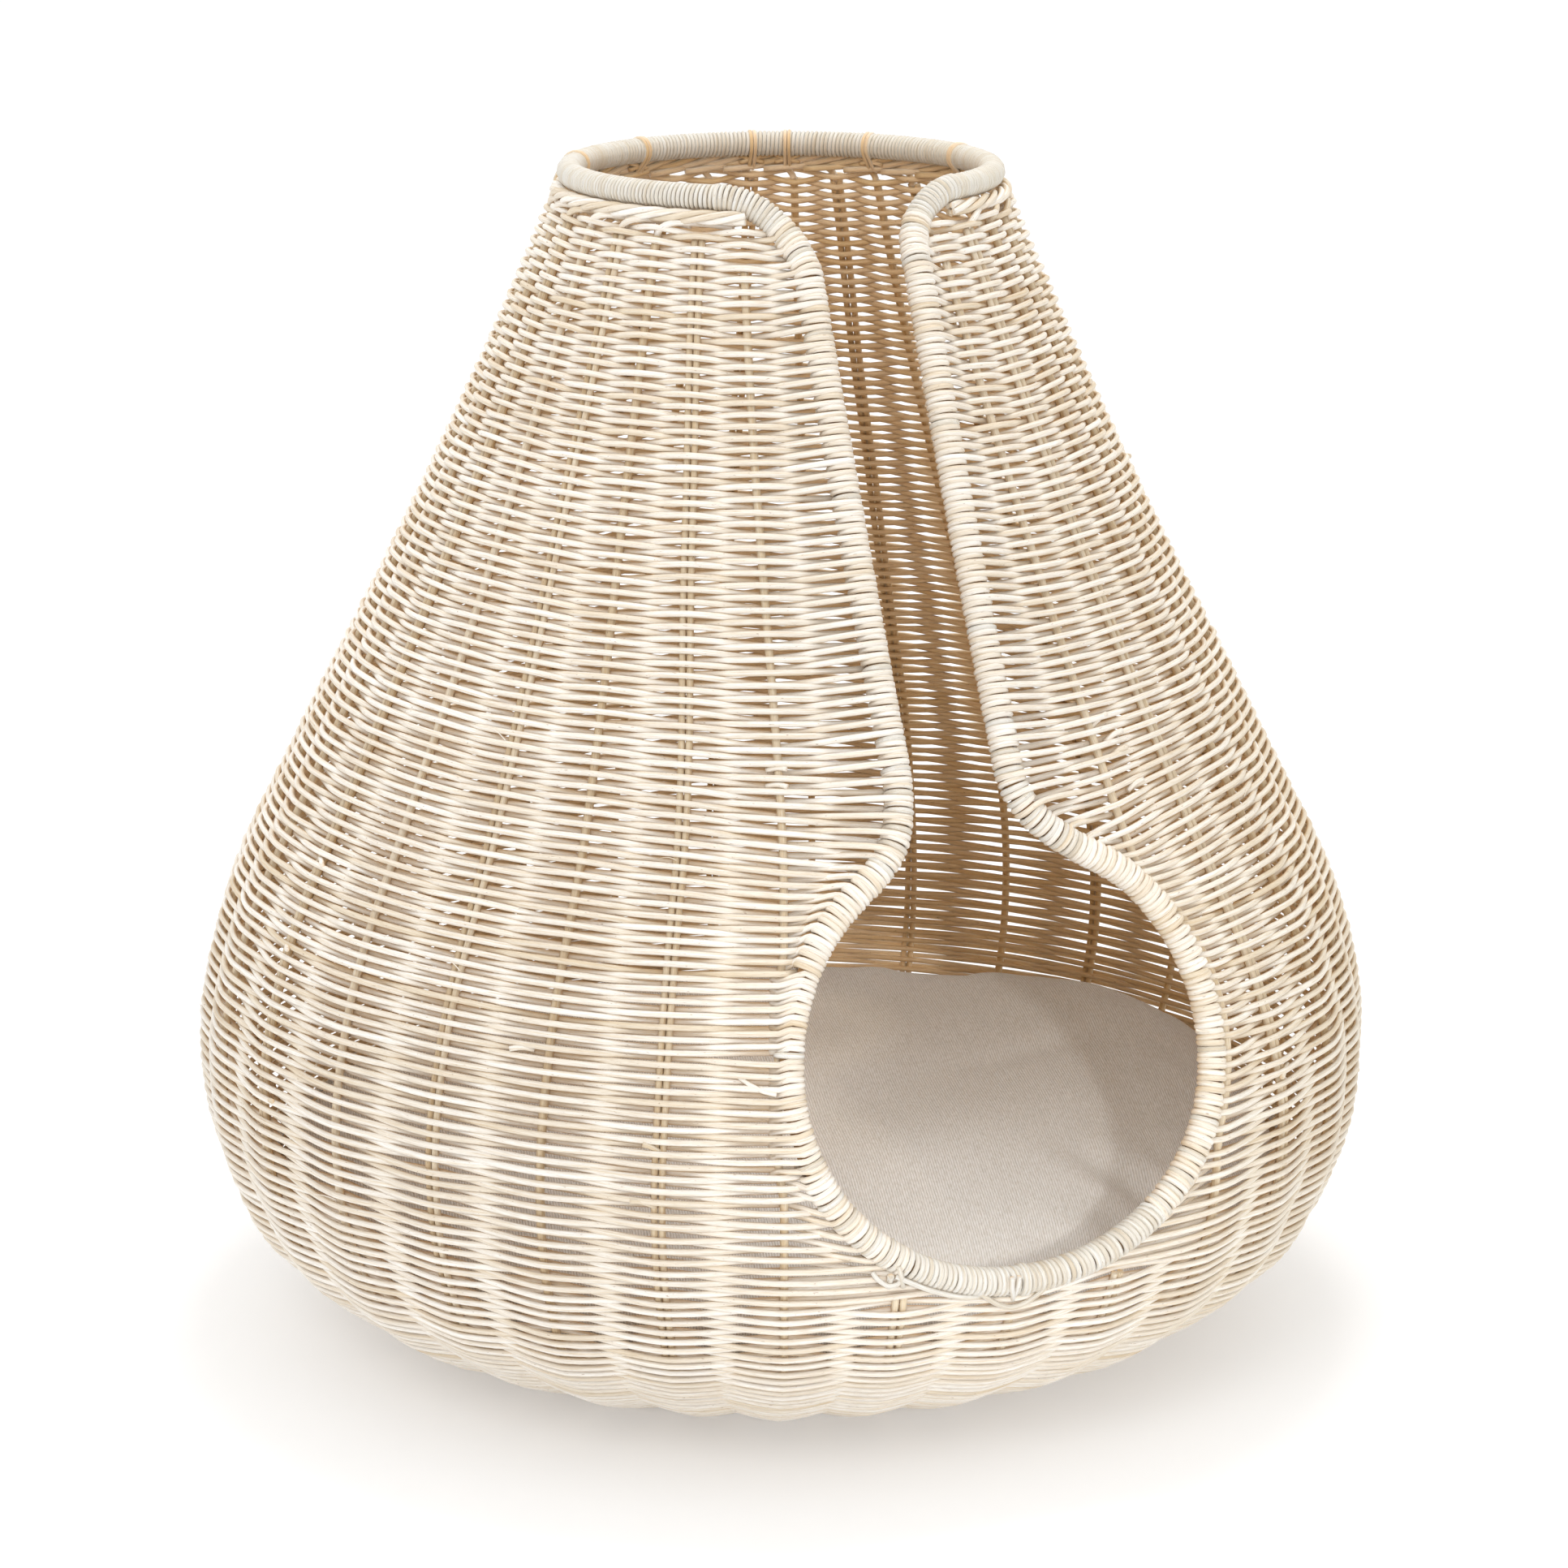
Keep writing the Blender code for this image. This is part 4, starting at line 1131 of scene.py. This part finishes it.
def cane_material(kind):
    """Bleached cane: each strand its own tint, long grain, yellow stretches, darker flecks, painted shade on
    the side that faces into the basket, and a little more yellow towards +X.
    """
    made, tree, shader = node_tree(f"cane_{kind}")
    pale, usual, deep = (linear(*colour) for colour in CANES[kind])
    grain = attribute(tree, "grain", "Vector")
    base = ramp(tree, attribute(tree, "tint", "Fac"), [(0.05, deep), (0.45, usual), (0.95, pale)])
    # painted shade: the inward-facing side of each strand, and each stretch that dips behind the stakes, is
    # mixed towards tan
    inner = map_range(tree, attribute(tree, "inner", "Fac"), From_Min=0.43, To_Max=0.95)
    base = mix_colour(tree, inner, base, mix_colour(tree, 0.3, INSIDE_SHADE, base))
    streaks = noise(tree, stretched(tree, grain, (22.0, 1.3, 1.3)), 1.0, 2.0)
    base = stain(tree, base, ramp(tree, streaks, [(0.34, linear(234, 214, 176)), (0.55, WHITE)]), 0.42)
    fine = noise(tree, stretched(tree, grain, (160.0, 5.0, 5.0)), 1.0, 3.0, 0.65)
    base = stain(tree, base, ramp(tree, fine, [(0.34, linear(216, 203, 184)), (0.6, WHITE)]), 0.55)
    fleck = noise(tree, stretched(tree, grain, (420.0, 2.2, 2.2)), 1.0, 1.0)
    base = stain(tree, base, ramp(tree, fleck, [(0.22, linear(150, 118, 80)), (0.29, WHITE)]), 0.5)
    split = tree.nodes.new("ShaderNodeSeparateXYZ")
    tree.links.new(tree.nodes.new("ShaderNodeTexCoord").outputs["Object"], split.inputs["Vector"])
    # a little more yellow towards +X
    yellower = map_range(tree, split.outputs["X"], From_Min=YELLOWER_FROM, From_Max=YELLOWER_TO, To_Max=0.5)
    tree.links.new(stain(tree, base, YELLOWER_SIDE, yellower), shader.inputs["Base Color"])
    tree.links.new(map_range(tree, fine, To_Min=0.42, To_Max=0.62), shader.inputs["Roughness"])
    shader.inputs["Specular IOR Level"].default_value = 0.45
    add_bump(tree, shader, fine, 0.35, 0.0003)
    return made


# ---- cushion ----

TWILL_TURN = math.radians(15)
TWILL_PITCH = 0.0011


def twill_material():
    made, tree, shader = node_tree("cushion_twill")
    coords = tree.nodes.new("ShaderNodeTexCoord").outputs["Object"]
    turned = tree.nodes.new("ShaderNodeMapping")
    turned.inputs["Rotation"].default_value = (0.0, 0.0, TWILL_TURN)
    tree.links.new(coords, turned.inputs["Vector"])
    ribs = tree.nodes.new("ShaderNodeTexWave")
    ribs.inputs["Scale"].default_value = TAU / (20 * TWILL_PITCH)
    ribs.inputs["Distortion"].default_value = 0.6
    ribs.inputs["Detail"].default_value = 1.0
    ribs.inputs["Detail Scale"].default_value = 2.0
    tree.links.new(turned.outputs["Vector"], ribs.inputs["Vector"])
    threads = noise(tree, stretched(tree, turned.outputs["Vector"], (1500.0, 300.0, 700.0)), 1.0, 2.0)
    cloud = noise(tree, coords, 9.0, 3.0)
    base = ramp(tree, cloud, [(0.3, linear(243, 240, 235)), (0.7, linear(250, 248, 245))])
    ribs = ribs.outputs["Fac"]
    base = stain(tree, base, ramp(tree, ribs, [(0.0, linear(214, 210, 205)), (0.55, WHITE)]), 0.75)
    base = stain(tree, base, ramp(tree, threads, [(0.3, linear(225, 220, 212)), (0.6, WHITE)]), 0.6)
    tree.links.new(base, shader.inputs["Base Color"])
    shader.inputs["Roughness"].default_value = 0.82
    shader.inputs["Sheen Weight"].default_value = 0.25
    shader.inputs["Sheen Roughness"].default_value = 0.5
    add_bump(tree, shader, ribs, 0.45, 0.0004)
    return made


def lathe_mesh(name, profile_points, segments):
    points = []
    faces = []
    rows = []
    for r, z in profile_points:
        row = []
        for j in range(1 if r == 0 else segments):
            a = TAU * j / segments
            row.append(len(points))
            points.append((r * math.sin(a), -r * math.cos(a), z))
        rows.append(row)
    for low, high in zip(rows[:-1], rows[1:]):
        for j in range(segments):
            k = (j + 1) % segments
            corners = [low[j % len(low)], low[k % len(low)], high[k % len(high)], high[j % len(high)]]
            faces.append(tuple(dict.fromkeys(corners)))
    mesh = bpy.data.meshes.new(name)
    mesh.from_pydata(points, [], faces)
    mesh.update()
    obj = bpy.data.objects.new(name, mesh)
    bpy.context.scene.collection.objects.link(obj)
    return obj


def apply_modifiers(obj):
    bpy.context.view_layer.objects.active = obj
    for other in bpy.context.selected_objects:
        other.select_set(False)
    obj.select_set(True)
    for modifier in list(obj.modifiers):
        bpy.ops.object.modifier_apply(modifier=modifier.name)


SIDE_DEPTH = 0.0125  # the cushion's side lies this deep under the wall's outline
SIDE_HEIGHTS = (0.003, 0.008, 0.014, 0.022, 0.032, 0.042, 0.052)
FLOOR_RADII = (0.0, 0.05, 0.10, 0.132)
SHOULDER_RADIUS = 0.190
SHOULDER_HEIGHT = 0.083
CROWN_INSET = 0.0035  # the crown stays this far under the CAD's, for the cloth to swell
MOST_SWELL = 0.006
SEAM_RADIUS = 0.0016


def cushion_half_section(seam_r, crown):
    """From the middle of the underside out to the seam and back over the top."""
    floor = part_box("cushion_bottom_panel")[0][2]
    section = [(r, floor) for r in FLOOR_RADII]
    for z in SIDE_HEIGHTS:
        radius, slope = wall_radius(z)
        length = math.hypot(1, float(slope))
        section.append((float(radius) - SIDE_DEPTH / length, z + SIDE_DEPTH * float(slope) / length))
    section.append((seam_r, SEAM_HEIGHT))
    for bend in np.linspace(0.12, 1.0, 6) * math.pi / 2:
        r = SHOULDER_RADIUS + (seam_r - SHOULDER_RADIUS) * math.cos(bend)
        section.append((r, SEAM_HEIGHT + (SHOULDER_HEIGHT - SEAM_HEIGHT) * math.sin(bend)))
    for share in (0.8, 0.6, 0.4, 0.2, 0.0):
        rise = (crown - SHOULDER_HEIGHT) * (1 - share * share)
        section.append((share * SHOULDER_RADIUS, SHOULDER_HEIGHT + rise))
    return section


def mesh_points(mesh):
    points = np.empty(len(mesh.vertices) * 3)
    mesh.vertices.foreach_get("co", points)
    return points.reshape(-1, 3)


def make_cushion():
    _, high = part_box("cushion_top_panel")
    cushion = lathe_mesh("cushion", cushion_half_section(high[0], high[2] - CROWN_INSET), 96)
    remesh = cushion.modifiers.new("remesh", "REMESH")
    remesh.mode = "VOXEL"
    remesh.voxel_size = 0.006
    apply_modifiers(cushion)
    start = mesh_points(cushion.data)
    swell(cushion)
    moved = mesh_points(cushion.data) - start
    far = np.linalg.norm(moved, axis=-1, keepdims=True)
    moved = moved * np.minimum(1.0, MOST_SWELL / np.maximum(far, 1e-9))
    cushion.data.vertices.foreach_set("co", fold(start + moved, start).ravel())
    cushion.data.update()
    finer = cushion.modifiers.new("finer", "SUBSURF")
    finer.levels = 1
    finer.render_levels = 1
    apply_modifiers(cushion)
    cushion.data.shade_smooth()
    twill = twill_material()
    cushion.data.materials.clear()
    cushion.data.materials.append(twill)
    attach(cushion, "cushion")
    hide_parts("cushion_top_panel", "cushion_bottom_panel", "cushion_filling")
    make_piping(twill, high[0])


def swell(obj):
    """Blows the cloth up a little, by a short simulation."""
    cloth = obj.modifiers.new("cloth", "CLOTH")
    cloth.settings.use_pressure = True
    cloth.settings.uniform_pressure_force = 4.0
    cloth.settings.quality = 5
    cloth.settings.tension_stiffness = 18
    cloth.settings.bending_stiffness = 0.4
    cloth.settings.effector_weights.gravity = 0.0
    for number in range(1, 21):
        bpy.context.scene.frame_set(number)
    apply_modifiers(obj)
    bpy.context.scene.frame_set(1)


FOLDS = (  # soft ridges and valleys of the top: x, y, heading, half length, half width, height
    (0.120, 0.020, 0.30, 0.060, 0.060, 0.0030),
    (0.065, -0.078, 0.42, 0.105, 0.030, 0.0042),
    (0.124, -0.006, 0.15, 0.060, 0.009, -0.0020),
    (0.040, 0.030, 0.35, 0.080, 0.030, 0.0018),
    (-0.030, -0.060, 0.50, 0.070, 0.020, -0.0018),
    (0.095, -0.142, -1.25, 0.026, 0.009, -0.0038),
    (0.112, -0.140, -1.20, 0.030, 0.010, 0.0020),
    (0.078, -0.146, -1.30, 0.034, 0.011, 0.0016),
    (0.001, -0.211, 0.10, 0.016, 0.007, -0.0085),
    (0.033, -0.206, 0.40, 0.009, 0.006, -0.0060),
    (-0.100, 0.060, -0.60, 0.080, 0.014, -0.0016),
    (-0.060, 0.130, 0.30, 0.070, 0.012, -0.0014),
)
FRONT_FALL = 0.0050  # how much lower the cushion lies at its front edge
FRONT_EDGE = (0.11, 0.21)  # distance towards the entrance over which it falls
BACK_RISE = 0.0034
BACK_EDGE = (0.07, 0.18)
TOP_HEIGHTS = (0.066, 0.080)  # the folds fade out down the side between these heights
RIM_RISE = 0.0165  # on the right the cushion's rim is pushed up against the wall
RIM_RISE_ANGLE = math.radians(102)
RIM_RISE_WIDTH = math.radians(33)
RIM_RISE_RADIUS = 0.203
RIM_RISE_REACH = 0.062


def fold(points, start):
    """Gives the top its soft folds, its lower front and its higher rim on the right."""
    x, y = points[:, 0], points[:, 1]
    rise = -FRONT_FALL * smooth(-y, *FRONT_EDGE) + BACK_RISE * smooth(y, *BACK_EDGE)
    round_at = (np.arctan2(x, -y) - RIM_RISE_ANGLE) / RIM_RISE_WIDTH
    out_at = (np.hypot(x, y) - RIM_RISE_RADIUS) / RIM_RISE_REACH
    rise = rise + RIM_RISE * np.exp(-(round_at**2) - out_at**2)
    for middle_x, middle_y, heading, length, width, most in FOLDS:
        along = (x - middle_x) * math.cos(heading) + (y - middle_y) * math.sin(heading)
        across = -(x - middle_x) * math.sin(heading) + (y - middle_y) * math.cos(heading)
        rise = rise + most * np.exp(-((along / length) ** 2) - (across / width) ** 2)
    points[:, 2] += smooth(start[:, 2], *TOP_HEIGHTS) * rise
    return points


def make_piping(cloth, seam_r):
    """The stitched seam round the side of the cushion."""
    strands = Strands()
    angle = np.linspace(0, TAU, 240, endpoint=False)
    r = seam_r - 0.0005 + 0.0006 * np.sin(angle * 9) * np.sin(angle * 4 + 1)
    points, normals = ring_points(angle, r, SEAM_HEIGHT + 0.0012 * np.sin(angle * 5 + 0.7))
    strands.add(points, normals, SEAM_RADIUS, closed=True)
    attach(strands.build("cushion_seam", cloth, "cushion_cloth"), "cushion")


# ---- studio ----


CAMERA_PLACE = (-0.726, -1.779, 0.745)
CAMERA_PITCH = math.radians(15.0)
LIGHT_AIM = (0.0, 0.0, 0.22)
AREA_LIGHTS = (  # name, place, size, power
    ("key", (-1.9, -1.9, 2.3), 1.3, 15.5),
    ("front", (-0.55, -2.6, 0.95), 0.5, 4.2),
    ("top", (0.3, 0.4, 2.6), 0.7, 14.0),
)
SPOTS = (  # name, place, aim, power, degrees across, radius, colour
    ("into_entrance", (-0.50, -2.5, 1.00), (0.010, -0.2, 0.145), 260.0, 3.8, 0.12, (1.0, 1.0, 1.0)),
    ("into_mouth", (0.0, -0.45, 2.8), (0.0, 0.0, 0.47), 170.0, 4.4, 0.20, (1.0, 0.86, 0.66)),
)
FLOOR_REACH = 14.0


def add_light(name, kind, where, aim, power):
    light = bpy.data.objects.new(name, bpy.data.lights.new(name, kind))
    light.data.energy = power
    light.location = where
    light.rotation_euler = (Vector(aim) - Vector(where)).to_track_quat("-Z", "Y").to_euler()
    bpy.context.scene.collection.objects.link(light)
    return light.data


def make_camera(scene):
    camera = bpy.data.objects.new("camera", bpy.data.cameras.new("camera"))
    scene.collection.objects.link(camera)
    camera.location = CAMERA_PLACE
    flat = Vector((-CAMERA_PLACE[0], -CAMERA_PLACE[1], 0.0)).normalized()
    aim = flat * math.cos(CAMERA_PITCH) - Vector((0, 0, 1)) * math.sin(CAMERA_PITCH)
    camera.rotation_euler = aim.to_track_quat("-Z", "Y").to_euler()
    camera.data.sensor_width = 36.0
    camera.data.lens = 107.1
    camera.data.shift_x = 0.002
    camera.data.clip_end = 60.0
    scene.camera = camera


def make_floor(scene):
    """A plain pale floor that glows a little, so that it meets the white background."""
    mesh = bpy.data.meshes.new("floor")
    corners = [(x * FLOOR_REACH, y * FLOOR_REACH, 0) for x, y in ((-1, -1), (1, -1), (1, 1), (-1, 1))]
    mesh.from_pydata(corners, [], [(0, 1, 2, 3)])
    floor = bpy.data.objects.new("floor", mesh)
    scene.collection.objects.link(floor)
    made, tree, shader = node_tree("floor_paper")
    cloud = noise(tree, tree.nodes.new("ShaderNodeTexCoord").outputs["Object"], 3.0)
    paper = ramp(tree, cloud, [(0.3, (0.72, 0.72, 0.72, 1)), (0.7, (0.74, 0.74, 0.74, 1))])
    tree.links.new(paper, shader.inputs["Base Color"])
    shader.inputs["Roughness"].default_value = 0.9
    shader.inputs["Emission Color"].default_value = (1.0, 1.0, 1.0, 1.0)
    shader.inputs["Emission Strength"].default_value = 0.30
    mesh.materials.append(made)


def make_studio():
    scene = bpy.context.scene
    scene.view_settings.view_transform = "Standard"
    make_camera(scene)
    world = bpy.data.worlds.new("studio")
    scene.world = world
    world.use_nodes = True
    background = world.node_tree.nodes["Background"]
    background.inputs["Color"].default_value = (1.0, 1.0, 1.0, 1.0)
    background.inputs["Strength"].default_value = 0.98
    make_floor(scene)
    for name, where, size, power in AREA_LIGHTS:
        add_light(name, "AREA", where, LIGHT_AIM, power).size = size
    for name, where, aim, power, degrees, radius, colour in SPOTS:
        spot = add_light(name, "SPOT", where, aim, power)
        spot.spot_size = math.radians(degrees)
        spot.spot_blend = 1.0
        spot.shadow_soft_size = radius
        spot.color = colour


# ---- everything ----


def main():
    make_studio()
    weave = cane_material("weave")
    stake = cane_material("stake")
    binding = cane_material("binding")
    slots = make_wall(weave)
    make_jamb_wraps(binding, slots)
    make_hoop_wraps(binding)
    make_sill_ties(binding)
    make_loose_ends(weave)
    make_stakes(stake)
    make_border(weave)
    make_base(weave)
    make_cross_sticks(stake)
    make_cushion()
    bpy.data.objects["edge_pole"].data.materials[0] = cane_material("pole")


main()
